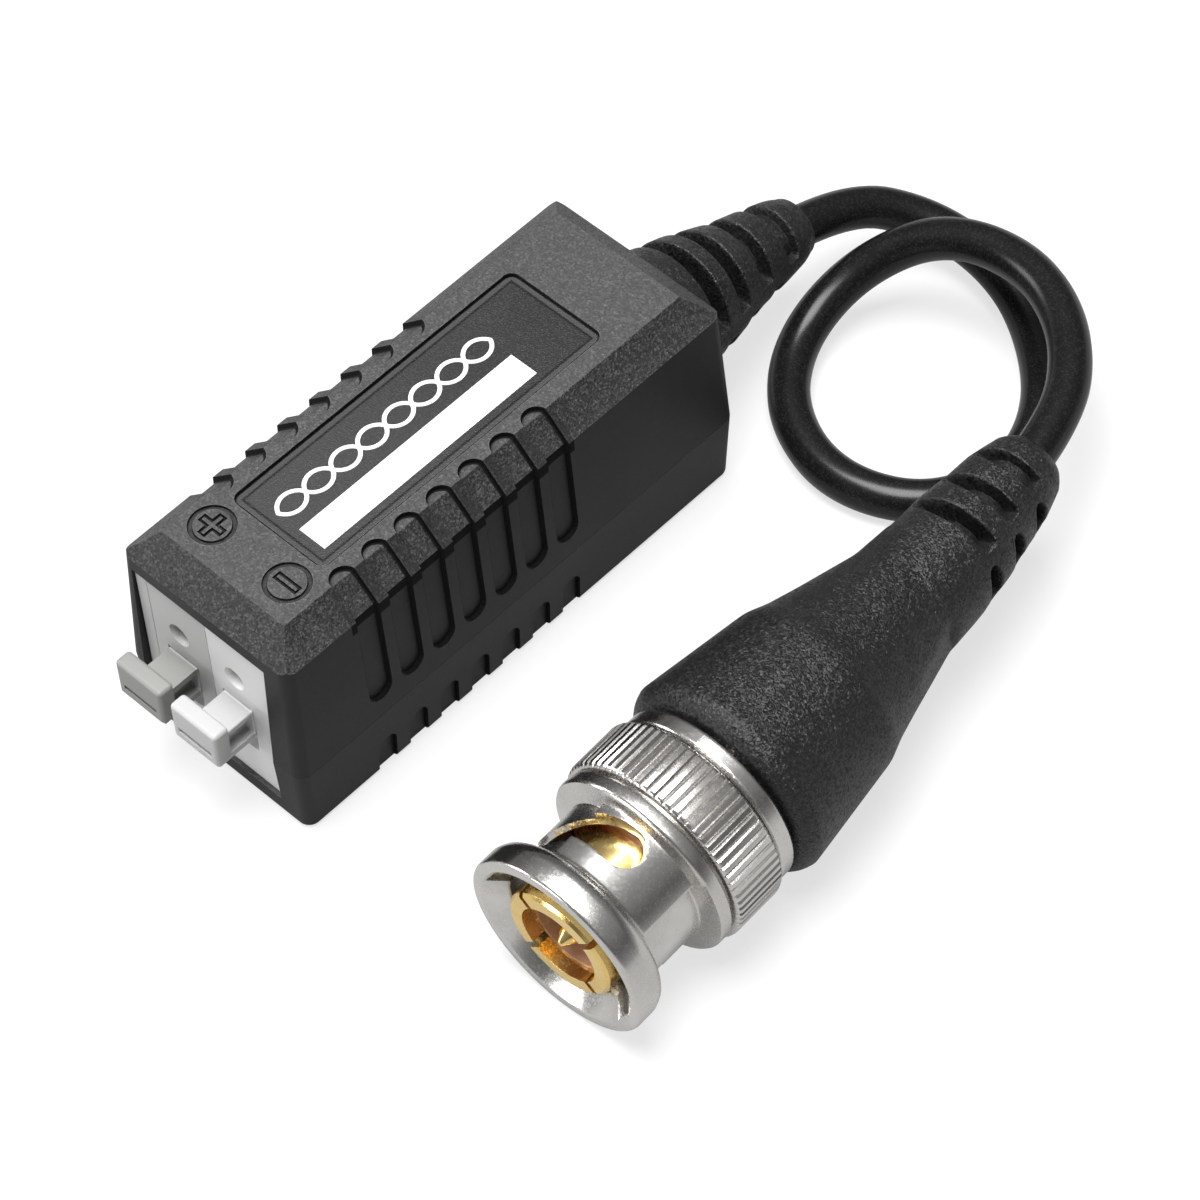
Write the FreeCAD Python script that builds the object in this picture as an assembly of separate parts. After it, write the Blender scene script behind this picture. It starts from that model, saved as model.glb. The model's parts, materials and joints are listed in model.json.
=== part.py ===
import FreeCAD, Part
import math
import os

# Passive video balun: a two-shell housing with a spring terminal for a twisted pair at one end and a coaxial
# pigtail with a bayonet plug at the other. Millimetres, +Z up. The origin is the middle of the housing's
# underside, +Y points from the terminal to the pigtail, and all of it lies on the plane z = 0.

Vec = FreeCAD.Vector
ORIGIN = Vec(0, 0, 0)
X_AXIS = Vec(1, 0, 0)
Y_AXIS = Vec(0, 1, 0)
Z_AXIS = Vec(0, 0, 1)

# Clearances
seat_gap = 0.05
slide_gap = 0.1
reach = 2.0  # how far a cutting block runs past the face that it opens
tall_share = 0.9  # of a block's height, from which an edge counts as upright

# Housing shells, with the plan sizes taken at the parting line
body_width = 16.0
body_length = 40.6
body_height = 18.3
parting_height = 6.0
cover_draft = 2.4  # degrees
case_draft = 2.9
side_wall = 1.3
cover_roof = 2.0
case_floor = 1.65
top_chamfer = 1.9
corner_radius = 0.9
inner_corner_radius = 0.2
foot_radius = 0.45
lip_thickness = 0.6
lip_height = 1.1

# Finger grips moulded into both long sides
grip_count = 7
grip_pitch = 2.86
grip_first_y = -12.78
grip_depth = 0.35
grip_width = 1.95
grip_tip_x = 4.75
grip_bottom = 7.6
foot_grip_width = 1.65
foot_grip_top = 3.2

# Label in the top face, and the engraved polarity marks
recess_width = 8.4
recess_front = -13.2
recess_back = 12.25
recess_depth = 0.35
recess_radius = 0.7
label_gap = 0.15
label_thickness = 0.15
print_thickness = 0.05
bar_left = 0.75
bar_right = 3.05
bar_front = -11.9
bar_back = 7.2
wave_centre_x = -1.15
wave_swing = 0.8
wave_line = 0.3
wave_half_turns = 8
mark_left_x = -3.5
mark_right_x = 3.3
mark_y = -15.4
mark_diameter = 3.2
mark_groove = 0.32
mark_depth = 0.2
mark_stroke = 2.0
mark_stroke_width = 0.66
mark_rib = 0.26  # left standing along each stroke's middle

# Spring terminal: two one-pole blocks and a side lid in one opening of the front wall
opening_width = 12.05
opening_top = 15.3
terminal_setback = 0.55  # of its face behind the front wall
terminal_depth = 10.0
lid_thickness = 1.05
pole_width = 5.3
pole_pitch = 5.08
wire_inset = 3.6  # of the grey pole's entry from the opening's left side
wire_bore = 1.4
wire_headroom = 0.45  # between the bore and the busbar
funnel_mouth = 1.8
funnel_depth = 0.3
face_wall = 2.35
back_wall = 1.45
chamber_half = 1.5
chamber_floor = 4.0
chamber_roof = 13.05
lever_slot_width = 2.8
lever_slot_above = 0.2
lever_slot_below = 1.5
lever_slot_recess = 0.9

# Push levers
lever_travel = 1.8
lever_width = 2.6
lever_low = 6.2
lever_height = 2.8
head_width = 4.2
head_rise = 1.2  # of its lower edge above the stem's
head_height = 3.3
head_thickness = 1.3
head_rest_gap = 0.75  # left behind the head when it is pushed in
head_edge = 0.3
head_slot_width = 3.0
head_slot_height = 0.4
head_slot_depth = 0.35
head_slot_rise = 1.0
pocket_depth = 0.75
pocket_rim = 0.55
stop_height = 0.75
stop_thickness = 0.6

# Sheet metal in the terminal
spring_sheet = 0.3
spring_width = 2.4
spring_leg_y = -15.0
spring_leg_rise = 0.6  # of its bend above the lever
spring_lean = 1.1
strip_sheet = 0.5
strip_width = 2.4
strip_nose_gap = 0.4
strip_foot = 0.9

# Circuit board and what is soldered to it
board_side_gap = 0.8  # to the shell's walls
board_thickness = 1.2
board_top = 5.4
board_back_gap = 7.3  # from the board's end to the rear wall's outside
board_setback = 0.45  # between the terminal's back and the board
post_inset = 1.4
post_side_inset = 1.0
post_size = 2.2
peg_diameter = 1.1
peg_stake = 0.5
core_outer = 9.5
core_inner = 4.9
core_height = 3.0
core_gap = 1.4  # from the board's front edge to the choke
winding_build = 0.55
winding_angle = 140.0
winding_grooves = 13
groove_depth = 0.15
groove_width = 0.12
suppressor_x = -3.3
suppressor_width = 3.6
suppressor_length = 4.4
suppressor_height = 2.2
suppressor_tab = 0.3
suppressor_lift = 0.1
resistor_x = 0.5
resistor_diameter = 1.7
resistor_length = 3.4
resistor_lift = 0.3
lead_diameter = 0.5
lead_overhang = 0.5
capacitor_inset = 2.4  # of its middle from the board's right side
capacitor_diameter = 4.0
capacitor_thickness = 1.5
capacitor_lift = 0.7
capacitor_lead_spacing = 2.5

# Pigtail cable, with the points of its loop between the housing and the plug
cable_diameter = 3.0
arc_share = 0.45  # of the shorter run, which a bend takes up
exit_height = 9.0
jacket_inside = 6.3
cable_loop = [
    (0, 39.1, 5.9),
    (5.1, 44.3, 3.1),
    (12.5, 44.3, 1.5),
    (20.1, 38.7, 1.5),
    (23.0, 32.0, 1.5),
    (20.7, 25.6, 1.5),
    (14.4, 22.9, 1.5),
    (8.0, 25.1, 1.5),
    (4.1, 30.4, 1.7),
    (4.4, 36.5, 4.3),
    (8.7, 40.7, 7.8),
    (15.85, 41.6, 8.9),
    (22.3, 38.25, 9.3),
    (26.5, 31.97, 9.18),
]
tail_diameter = 0.8
tail_spacing = 0.95
tail_straight = 1.6
tail_forward = 1.3
tail_drop = 1.2

# Strain relief of the housing
relief_profile = [(0.0, 5.1), (4.5, 4.4), (8.5, 3.4), (11.5, 2.95), (13.6, 2.55), (14.5, 2.15)]
relief_slots = [2.7, 5.4, 8.4, 11.6]
relief_low_slots = [4.1, 6.9, 10.0]
relief_slot_width = 1.3
relief_slot_span = 158.0
relief_core = 2.15
relief_neck = 3.5
relief_flange = 4.6
relief_flange_thickness = 1.5

# Bayonet plug on its own axis, with places along it measured back from the sleeve's rim
plug_x = 29.0
plug_y = -18.76
plug_turn = 1.75  # degrees about +Z from the housing's axis
rim_radius = 7.0
rim_bevel = 0.15
rim_land = 1.6
rim_shoulder_radius = 6.75
rim_shoulder = 2.2
rim_foot = 2.8
sleeve_radius = 6.0
sleeve_grip_radius = 7.25
sleeve_ring_radius = 6.95
sleeve_groove_radius = 6.4
sleeve_bore_radius = 4.95
mouth_radius = 6.2
mouth_depth = 1.25
ring_front = 7.35
ring_back = 8.65
knurl_front = 8.95
knurl_back = 13.2
knurl_count = 72
knurl_depth = 0.2
edge_bevel = 0.4
thin_radius = 5.4  # of the two zones turned down for the stud channels
thin_half_angle = 51.0
thin_turn = 9.0  # of their middle past the channel
stud_channel_radius = 5.95
stud_channel_width = 2.2
stud_channel_end = 3.1
channel_angle = 152.0  # degrees round the plug axis, from its right side over the top
detent_angle = 79.0
detent_place = 5.7
detent_radius = 1.43
ramp_half_width = 1.15
ramp_share = 0.72  # of the path's turn, after which it runs level
ramp_steps = 12
ramp_overlap = 1.1  # of a step's length along the ramp
sleeve_travel = 0.7
sleeve_nut_gap = 0.2
neck_radius = 4.2
flange_front = 7.7
flange_thickness = 1.0
washer_thickness = 0.3
dished_sheet = 0.25
nut_radius = 6.85
nut_thickness = 1.4
nut_edge = 0.35
contact_radius = 4.15
contact_bore_radius = 3.0
contact_setback = 0.25
contact_spigot_radius = 3.6
contact_spigot_length = 2.3
contact_slit = 0.45
contact_slit_end = 6.3
gasket_thickness = 0.6
gasket_seat_depth = 0.3
insulator_front = 1.3
insulator_back = 13.5
insulator_dish_radius = 2.75
insulator_dish_depth = 4.5
insulator_floor_radius = 1.45
pin_radius = 0.675
pin_tip = 0.4
pin_taper = 0.8
pin_collar_radius = 0.85
pin_shoulder = 11.0
pin_tail_radius = 1.1
core_wire_radius = 0.85
body_neck_grip = 4.0
tail_tube_length = 7.8
cable_end_gap = 0.2
ferrule_gap = 1.0
ferrule_overlap = 4.0
ferrule_wall = 0.6

# Moulded boot of the plug
boot_gap = 0.3
boot_radius = 7.7
boot_edge = 1.2
boot_face_drop = 0.85  # from the widest radius to the front face's
boot_taper = [(9.5, 6.65), (11.0, 6.1), (13.3, 5.5), (18.0, 4.4), (18.5, 4.35), (21.7, 4.2)]
boot_relief_place = 21.4
boot_relief_profile = [(-0.3, 4.15), (0.8, 4.05), (3.3, 3.9), (5.8, 3.5), (7.8, 3.3), (9.4, 2.9), (10.5, 2.6),
                       (10.9, 2.1)]
boot_slots = [2.2, 5.1, 8.1]
boot_side_slots = [1.5, 4.5, 7.4]
boot_slot_width = 1.2
boot_slot_span = 100.0
boot_side_span = 50.0
boot_core = 2.15
boot_flat_front = (11.0, 6.1)
boot_flat_back = (18.5, 3.95)

# Sizes that follow
cable_radius = cable_diameter / 2
cover_lean = math.tan(math.radians(cover_draft))
case_lean = math.tan(math.radians(case_draft))
lever_high = lever_low + lever_height
head_low = lever_low + head_rise
terminal_face_y = terminal_setback - body_length / 2
terminal_back_y = terminal_face_y + terminal_depth
opening_left = side_wall + seat_gap - body_width / 2
opening_right = opening_left + opening_width
wire_x = opening_left + wire_inset
wire_z = chamber_roof - strip_sheet - wire_headroom - wire_bore / 2
chamber_front_y = terminal_face_y + face_wall
chamber_back_y = terminal_back_y - back_wall
pole_left = opening_left + seat_gap + lid_thickness + seat_gap
pole_x = [wire_x, wire_x + pole_pitch]
board_width = body_width - 2 * (side_wall + board_side_gap)
post_x = board_width / 2 - post_side_inset
capacitor_x = board_width / 2 - capacitor_inset
board_front = terminal_back_y + board_setback
board_back = body_length / 2 - board_back_gap
board_low = board_top - board_thickness
core_y = board_front + core_gap + core_outer / 2 + winding_build
jacket_end_y = body_length / 2 - jacket_inside
tail_end_y = jacket_end_y - tail_straight - tail_forward
parts_row_y = (core_y + core_outer / 2 + winding_build + tail_end_y - tail_diameter / 2) / 2
recess_floor = body_height - recess_depth
label_top = recess_floor + label_thickness
gasket_front = flange_front - gasket_thickness
gasket_seat_radius = contact_radius - gasket_seat_depth
flange_back = flange_front + flange_thickness
dished_rise = sleeve_travel / 2
washer_front = flange_back + 2 * (dished_sheet + dished_rise)
shoulder_front = washer_front + washer_thickness
nut_front = knurl_back + sleeve_nut_gap
boot_front = nut_front + nut_thickness + boot_gap
boot_relief_start = boot_front + boot_relief_place
body_neck_end = boot_front + body_neck_grip
tail_tube_end = body_neck_end + tail_tube_length
cable_end_place = tail_tube_end + cable_end_gap
ferrule_front = body_neck_end + ferrule_gap
ferrule_back = cable_end_place + ferrule_overlap
plug_pitch = math.degrees(math.asin((boot_radius - rim_radius) / (boot_front + boot_edge)))
plug_rim = Vec(plug_x, plug_y, rim_radius * math.cos(math.radians(plug_pitch)))
plug_back = FreeCAD.Rotation(plug_turn, 0, plug_pitch).multVec(Y_AXIS)
cable_route = [Vec(0, jacket_end_y, exit_height), Vec(0, body_length / 2, exit_height)]
cable_route += [Vec(*p) for p in cable_loop]
cable_route += [plug_rim + plug_back * boot_relief_start, plug_rim + plug_back * cable_end_place]


def box(x0, x1, y0, y1, z0, z1):
    return Part.makeBox(x1 - x0, y1 - y0, z1 - z0, Vec(x0, y0, z0))


def rod(radius, start, end):
    return Part.makeCylinder(radius, (end - start).Length, start, end - start)


def joined(shapes):
    return shapes[0].multiFuse(shapes[1:]).removeSplitter()


def leaning_block(low_half_x, low_half_y, z_low, high_half_x, high_half_y, z_high):
    wedge = Part.makeWedge(-low_half_x, z_low, -low_half_y, -high_half_y, -high_half_x,
                           low_half_x, z_high, low_half_y, high_half_y, high_half_x)
    wedge.rotate(ORIGIN, X_AXIS, 90)
    return wedge


def upright_edges(solid):
    return [e for e in solid.Edges if e.BoundBox.ZLength > tall_share * solid.BoundBox.ZLength]


def cover_block(inset, z_low, z_high):
    low = inset + (z_low - parting_height) * cover_lean
    high = inset + (z_high - parting_height) * cover_lean
    return leaning_block(body_width / 2 - low, body_length / 2 - low, z_low,
                         body_width / 2 - high, body_length / 2 - high, z_high)


def case_block(inset, z_low, z_high):
    low = inset + (parting_height - z_low) * case_lean
    high = inset + (parting_height - z_high) * case_lean
    return leaning_block(body_width / 2 - low, body_length / 2 - low, z_low,
                         body_width / 2 - high, body_length / 2 - high, z_high)


def rounded(solid, inset):
    return solid.makeFillet(max(corner_radius - inset, inner_corner_radius), upright_edges(solid))


def cover_form(inset):
    """Outer form of the cover with its four sloping top edges, or a copy shrunk by the inset."""
    top = body_height - inset
    shaft = rounded(cover_block(inset, parting_height, top), inset)
    edge = (body_height - parting_height) * cover_lean + top_chamfer + inset * (math.sqrt(2) - 1)
    rise = top - parting_height
    half_x = body_width / 2 - edge
    half_y = body_length / 2 - edge
    roof = leaning_block(half_x + rise, half_y + rise, parting_height, half_x, half_y, top)
    return shaft.common(roof)


def grip_rows():
    """Both rows of grip places as (side, centre y)."""
    return [(side, grip_first_y + i * grip_pitch) for side in (-1, 1) for i in range(grip_count)]


def cover_grips():
    """Sunken fingers with a round tip on the top face, which run down over the sloping edge and the side."""
    half = grip_width / 2
    fingers = []
    for side, y in grip_rows():
        tip_x = grip_tip_x + half
        far_x = body_width / 2 + reach
        plan = box(tip_x, far_x, y - half, y + half, parting_height, body_height + reach)
        plan = plan.fuse(Part.makeCylinder(half, body_height, Vec(tip_x, y, parting_height)))
        face = box(grip_tip_x - reach, far_x, y - half, y + half, grip_bottom + half, body_height + reach)
        face = face.fuse(Part.makeCylinder(half, body_width, Vec(0, y, grip_bottom + half), X_AXIS))
        finger = plan.common(face)
        if side < 0:
            finger = finger.mirror(ORIGIN, X_AXIS)
        fingers.append(finger)
    skin = cover_form(-seat_gap).cut(cover_form(grip_depth))
    return skin.common(Part.makeCompound(fingers))


def case_grips():
    half = foot_grip_width / 2
    fingers = []
    for side, y in grip_rows():
        x0, x1 = sorted((side * (body_width / 2 - reach), side * (body_width / 2 + reach)))
        finger = box(x0, x1, y - half, y + half, -reach, foot_grip_top - half)
        finger = finger.fuse(Part.makeCylinder(half, x1 - x0, Vec(x0, y, foot_grip_top - half), X_AXIS))
        fingers.append(finger)
    skin = case_block(-seat_gap, -reach, parting_height).cut(case_block(grip_depth, -reach, parting_height))
    return skin.common(Part.makeCompound(fingers))


def label_field(margin, z0, z1):
    field = box(margin - recess_width / 2, recess_width / 2 - margin, recess_front + margin,
                recess_back - margin, z0, z1)
    return field.makeFillet(recess_radius - margin, upright_edges(field))


def polarity_marks():
    """Ring grooves with a plus at the left and a minus at the right."""
    floor = body_height - mark_depth
    half = mark_stroke / 2
    wide = mark_stroke_width / 2
    rib = mark_rib / 2
    cuts = []
    for x in (mark_left_x, mark_right_x):
        ring = Part.makeCylinder(mark_diameter / 2, reach, Vec(x, mark_y, floor))
        inner = Part.makeCylinder(mark_diameter / 2 - mark_groove, reach, Vec(x, mark_y, floor))
        cuts.append(ring.cut(inner))
        stroke = box(x - half, x + half, mark_y - wide, mark_y + wide, floor, floor + reach)
        ridge = box(x - half + rib, x + half - rib, mark_y - rib, mark_y + rib, floor, floor + reach)
        if x == mark_left_x:
            post = box(x - wide, x + wide, mark_y - half, mark_y + half, floor, floor + reach)
            stroke = stroke.fuse(post)
            post = box(x - rib, x + rib, mark_y - half + rib, mark_y + half - rib, floor, floor + reach)
            ridge = ridge.fuse(post)
        cuts.append(stroke.cut(ridge))
    return Part.makeCompound(cuts)


def terminal_opening():
    return box(opening_left, opening_right, -body_length, terminal_back_y + slide_gap, case_floor,
               opening_top)


def relief_passage(gap):
    """Hole for the strain relief's neck, open downwards to the parting line."""
    radius = relief_neck + gap
    back = body_length / 2
    front = back - side_wall - reach
    hole = rod(radius, Vec(0, front, exit_height), Vec(0, back + reach, exit_height))
    return hole.fuse(box(-radius, radius, front, back + reach, parting_height, exit_height))


def upper_cover():
    cover = cover_form(0)
    ceiling = body_height - cover_roof
    cover = cover.cut(cover_block(side_wall, parting_height, ceiling))
    rebate = cover_block(lip_thickness, parting_height, parting_height + lip_height + slide_gap)
    cover = cover.cut(rebate)
    cover = cover.cut(label_field(0, recess_floor, body_height + reach))
    cover = cover.cut(polarity_marks())
    cover = cover.cut(cover_grips())
    cover = cover.cut(terminal_opening())
    return cover.cut(relief_passage(slide_gap))


def board_pegs():
    """Centres of the four heat-staked pegs that hold the board."""
    return [(x, y) for x in (-post_x, post_x) for y in (board_front + post_inset, board_back - post_inset)]


def lower_case():
    block = rounded(case_block(0, 0, parting_height), 0)
    foot = [e for e in block.Edges if e.BoundBox.ZMax < 1e-6]
    block = block.makeFillet(foot_radius, foot)
    lip_high = parting_height + lip_height
    lip = cover_block(lip_thickness + slide_gap, parting_height, lip_high)
    lip = lip.cut(cover_block(side_wall, parting_height, lip_high))
    block = block.cut(case_block(side_wall, case_floor, parting_height))
    case = block.fuse(lip)
    half = post_size / 2
    for x, y in board_pegs():
        post = box(x - half, x + half, y - half, y + half, case_floor, board_low)
        peg = Part.makeCylinder(peg_diameter / 2, board_thickness + peg_stake, Vec(x, y, board_low))
        case = case.fuse(post.fuse(peg))
    case = case.cut(case_grips())
    case = case.cut(terminal_opening())
    return case.cut(relief_passage(slide_gap)).removeSplitter()


def top_label():
    return label_field(label_gap, recess_floor, label_top)


def label_white_bar():
    return box(bar_left, bar_right, bar_front, bar_back, label_top, label_top + print_thickness)


def label_wave_print():
    """Two thin lines that wind about each other, as long as the bar beside them."""
    step = (bar_back - bar_front) / wave_half_turns
    lines = []
    for first in (-1, 1):
        arcs = []
        for i in range(wave_half_turns):
            y = bar_front + i * step
            swing = first * wave_swing * (-1) ** i
            crest = Vec(wave_centre_x + swing, y + step / 2, label_top)
            arcs.append(Part.Arc(Vec(wave_centre_x, y, label_top), crest,
                                 Vec(wave_centre_x, y + step, label_top)).toShape())
        outline = Part.Wire(arcs).makeOffset2D(wave_line / 2)
        lines.append(Part.Face(outline).extrude(Vec(0, 0, print_thickness)))
    return joined(lines)


def sheet_strip(edges, sheet, x_middle, width):
    """Bent strip of the given sheet thickness about a centre line in the plane x = 0."""
    outline = Part.Wire(edges).makeOffset2D(sheet / 2)
    strip = Part.Face(outline).extrude(Vec(width, 0, 0))
    strip.translate(Vec(x_middle - width / 2, 0, 0))
    if strip.Volume < 0:
        strip.reverse()
    return strip


def line(a, b):
    return Part.LineSegment(Vec(0, *a), Vec(0, *b)).toShape()


def contact_strip(x, grown):
    """Busbar under the chamber's roof, led out at the back and down to a foot on the board."""
    middle = chamber_roof - strip_sheet / 2
    down_y = board_front + strip_sheet / 2
    foot = board_top + strip_sheet / 2
    points = [(chamber_front_y + strip_nose_gap, middle), (down_y, middle), (down_y, foot),
              (down_y + strip_foot, foot)]
    edges = [line(a, b) for a, b in zip(points, points[1:])]
    return sheet_strip(edges, strip_sheet + 2 * grown, x, strip_width + 2 * grown)


def clamp_spring(x):
    """Loop spring: one leg against the chamber's back wall, the other in front of the lever's nose."""
    half = spring_sheet / 2
    back_y = chamber_back_y - half
    radius = (back_y - spring_leg_y) / 2
    loop_z = chamber_floor + half + radius
    under_strip = chamber_roof - strip_sheet - half - slide_gap
    loop = Part.Arc(Vec(0, back_y, loop_z), Vec(0, back_y - radius, loop_z - radius),
                    Vec(0, spring_leg_y, loop_z)).toShape()
    edges = [line((back_y, under_strip), (back_y, loop_z)), loop,
             line((spring_leg_y, loop_z), (spring_leg_y, lever_high + spring_leg_rise)),
             line((spring_leg_y, lever_high + spring_leg_rise), (spring_leg_y + spring_lean, under_strip))]
    return sheet_strip(edges, spring_sheet, x, spring_width)


def terminal_pole(index):
    """One pole of the terminal, open at its left side, which its neighbour closes."""
    left = pole_left + index * (pole_width + seat_gap)
    right = left + pole_width
    if index == 1:
        right = opening_right - seat_gap
    x = pole_x[index]
    high = opening_top - seat_gap
    pole = box(left, right, terminal_face_y, terminal_back_y, case_floor, high)
    chamber = box(left - reach, x + chamber_half, chamber_front_y, chamber_back_y, chamber_floor,
                  chamber_roof)
    mouth = Vec(x, terminal_face_y, wire_z)
    funnel = Part.makeCone(funnel_mouth / 2, wire_bore / 2, funnel_depth, mouth, Y_AXIS)
    bore = rod(wire_bore / 2, mouth, Vec(x, chamber_front_y + reach / 2, wire_z))
    half = lever_slot_width / 2
    recess = box(x - half, x + half, terminal_face_y - reach, terminal_face_y + lever_slot_recess,
                 lever_low - lever_slot_below, lever_high + lever_slot_above)
    guide = box(x - half, x + half, terminal_face_y, chamber_front_y + reach / 2,
                lever_low - slide_gap, lever_high + slide_gap)
    pole = pole.cut(Part.makeCompound([chamber, funnel.fuse(bore), recess.fuse(guide)]))
    return pole.cut(contact_strip(x, seat_gap))


def terminal_side_lid():
    left = opening_left + seat_gap
    return box(left, left + lid_thickness, terminal_face_y, terminal_back_y, case_floor,
               opening_top - seat_gap)


def lever(x):
    """T-shaped push lever with hollowed flanks and a stop behind the face wall."""
    head_back = terminal_face_y - lever_travel - head_rest_gap
    head_front = head_back - head_thickness
    nose = spring_leg_y - spring_sheet / 2 - slide_gap
    head = box(x - head_width / 2, x + head_width / 2, head_front, head_back, head_low,
               head_low + head_height)
    head = head.makeFillet(head_edge, head.Edges)
    stem = box(x - lever_width / 2, x + lever_width / 2, head_back - head_thickness / 2, nose, lever_low,
               lever_high)
    stop_front = chamber_front_y + seat_gap
    stop = box(x - lever_width / 2, x + lever_width / 2, stop_front, stop_front + stop_thickness,
               lever_high - head_edge, lever_high + stop_height)
    piece = joined([head, stem, stop])
    slot_z = head_low + head_slot_rise
    slot = box(x - head_slot_width / 2, x + head_slot_width / 2, head_front, head_front + head_slot_depth,
               slot_z - head_slot_height / 2, slot_z + head_slot_height / 2)
    piece = piece.cut(slot)
    for side in (-1, 1):
        x0, x1 = sorted((x + side * (lever_width / 2 - pocket_depth), x + side * lever_width))
        pocket = box(x0, x1, head_back + head_edge, terminal_face_y - seat_gap, lever_low + pocket_rim,
                     lever_high - pocket_rim)
        piece = piece.cut(pocket)
    return piece


def circuit_board():
    board = box(-board_width / 2, board_width / 2, board_front, board_back, board_low, board_top)
    for x, y in board_pegs():
        hole = Part.makeCylinder(peg_diameter / 2 + seat_gap, board_thickness, Vec(x, y, board_low))
        board = board.cut(hole)
    return board


def ferrite_core():
    low = Vec(0, core_y, board_top + winding_build)
    ring = Part.makeCylinder(core_outer / 2, core_height, low)
    return ring.cut(Part.makeCylinder(core_inner / 2, core_height, low))


def winding(middle_angle):
    """One half of the choke's winding, wrapped round a sector of the ring core."""
    height = core_height + 2 * winding_build
    outer = core_outer / 2 + winding_build
    inner = core_inner / 2 - winding_build
    low = Vec(0, core_y, board_top)
    sector = Part.makeCylinder(outer, height, low, Z_AXIS, winding_angle)
    sector = sector.cut(Part.makeCylinder(inner, height, low))
    sector.rotate(low, Z_AXIS, middle_angle - winding_angle / 2)
    sector = sector.cut(ferrite_core())
    grooves = []
    for i in range(1, winding_grooves + 1):
        angle = middle_angle - winding_angle / 2 + i * winding_angle / (winding_grooves + 1)
        half = groove_width / 2
        frame = box(inner - groove_depth, outer + groove_depth, -half, half, -groove_depth,
                    height + groove_depth)
        frame = frame.cut(box(inner + groove_depth, outer - groove_depth, -half, half, groove_depth,
                              height - groove_depth))
        frame.rotate(ORIGIN, Z_AXIS, angle)
        frame.translate(low)
        grooves.append(frame)
    return sector.cut(Part.makeCompound(grooves))


def surge_suppressor():
    half_x = suppressor_width / 2
    half_y = suppressor_length / 2
    low = board_top + suppressor_lift
    body = box(suppressor_x - half_x, suppressor_x + half_x, parts_row_y - half_y, parts_row_y + half_y, low,
               low + suppressor_height)
    tabs = box(suppressor_x - half_x / 2, suppressor_x + half_x / 2, parts_row_y - half_y - suppressor_tab,
               parts_row_y + half_y + suppressor_tab, board_top, board_top + suppressor_height / 2)
    return body.fuse(tabs)


def resistor():
    z = board_top + resistor_lift + resistor_diameter / 2
    front = parts_row_y - resistor_length / 2
    back = parts_row_y + resistor_length / 2
    body = rod(resistor_diameter / 2, Vec(resistor_x, front, z), Vec(resistor_x, back, z))
    pieces = [body, rod(lead_diameter / 2, Vec(resistor_x, front - lead_overhang, z),
                        Vec(resistor_x, back + lead_overhang, z))]
    for y in (front - lead_overhang, back + lead_overhang):
        pieces.append(rod(lead_diameter / 2, Vec(resistor_x, y, board_top), Vec(resistor_x, y, z)))
        pieces.append(Part.makeSphere(lead_diameter / 2, Vec(resistor_x, y, z)))
    return joined(pieces)


def ceramic_capacitor():
    radius = capacitor_diameter / 2
    middle = board_top + capacitor_lift + radius
    left = capacitor_x - capacitor_thickness / 2
    disc = Part.makeCylinder(radius, capacitor_thickness, Vec(left, parts_row_y, middle), X_AXIS)
    pieces = [disc.makeFillet(capacitor_thickness / 4, disc.Edges)]
    for side in (-1, 1):
        y = parts_row_y + side * capacitor_lead_spacing / 2
        pieces.append(rod(lead_diameter / 2, Vec(capacitor_x, y, board_top), Vec(capacitor_x, y, middle)))
    return joined(pieces)


def rounded_route(points):
    """Straight runs joined by tangent arcs, and the arcs' radii."""
    edges = []
    radii = []
    start = points[0]
    for before, corner, after in zip(points, points[1:], points[2:]):
        back = before - corner
        ahead = after - corner
        setback = arc_share * min(back.Length, ahead.Length)
        half_turn = (math.pi - back.getAngle(ahead)) / 2
        radius = setback / math.tan(half_turn)
        back.normalize()
        ahead.normalize()
        inward = back + ahead
        inward.normalize()
        middle = corner + inward * (radius / math.cos(half_turn) - radius)
        edges.append(Part.LineSegment(start, corner + back * setback).toShape())
        edges.append(Part.Arc(corner + back * setback, middle, corner + ahead * setback).toShape())
        start = corner + ahead * setback
        radii.append(radius)
    edges.append(Part.LineSegment(start, points[-1]).toShape())
    return Part.Wire(edges), radii


def tube(points, radius):
    """Solid tube along a rounded route."""
    path, radii = rounded_route(points)
    section = Part.Wire(Part.Circle(points[0], points[1] - points[0], radius).toShape())
    return path.makePipeShell([section], True, False), path, radii


def tail(offset, shift):
    """Stripped end of the cable, bent from the jacket's end down to the board."""
    points = [Vec(offset, jacket_end_y, exit_height), Vec(offset, jacket_end_y - tail_straight, exit_height),
              Vec(offset + shift, tail_end_y, exit_height - tail_drop),
              Vec(offset + shift, tail_end_y, board_top)]
    return tube(points, tail_diameter / 2)[0]


def turned(profile, start):
    """Solid of revolution about +Y from (place, radius) pairs, with its flat ends closed."""
    points = [Vec(0, profile[0][0], 0)]
    points += [Vec(radius, place, 0) for place, radius in profile]
    points += [Vec(0, profile[-1][0], 0), Vec(0, profile[0][0], 0)]
    solid = Part.Face(Part.makePolygon(points)).revolve(ORIGIN, Y_AXIS, 360)
    solid.translate(Vec(0, start, 0))
    return solid


def slot_ring(place, width, span, toward, core):
    """Slots of a strain relief: a sector of a ring about +Y, centred on the given angle from +X to +Z."""
    sector = Part.makeCylinder(body_width, width, Vec(0, place - width / 2, 0), Y_AXIS, span)
    start = sector.CenterOfMass
    now = math.degrees(math.atan2(start.z, start.x))
    sector.rotate(ORIGIN, Y_AXIS, now - toward)
    return sector.cut(rod(core, Vec(0, place - width, 0), Vec(0, place + width, 0)))


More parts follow.
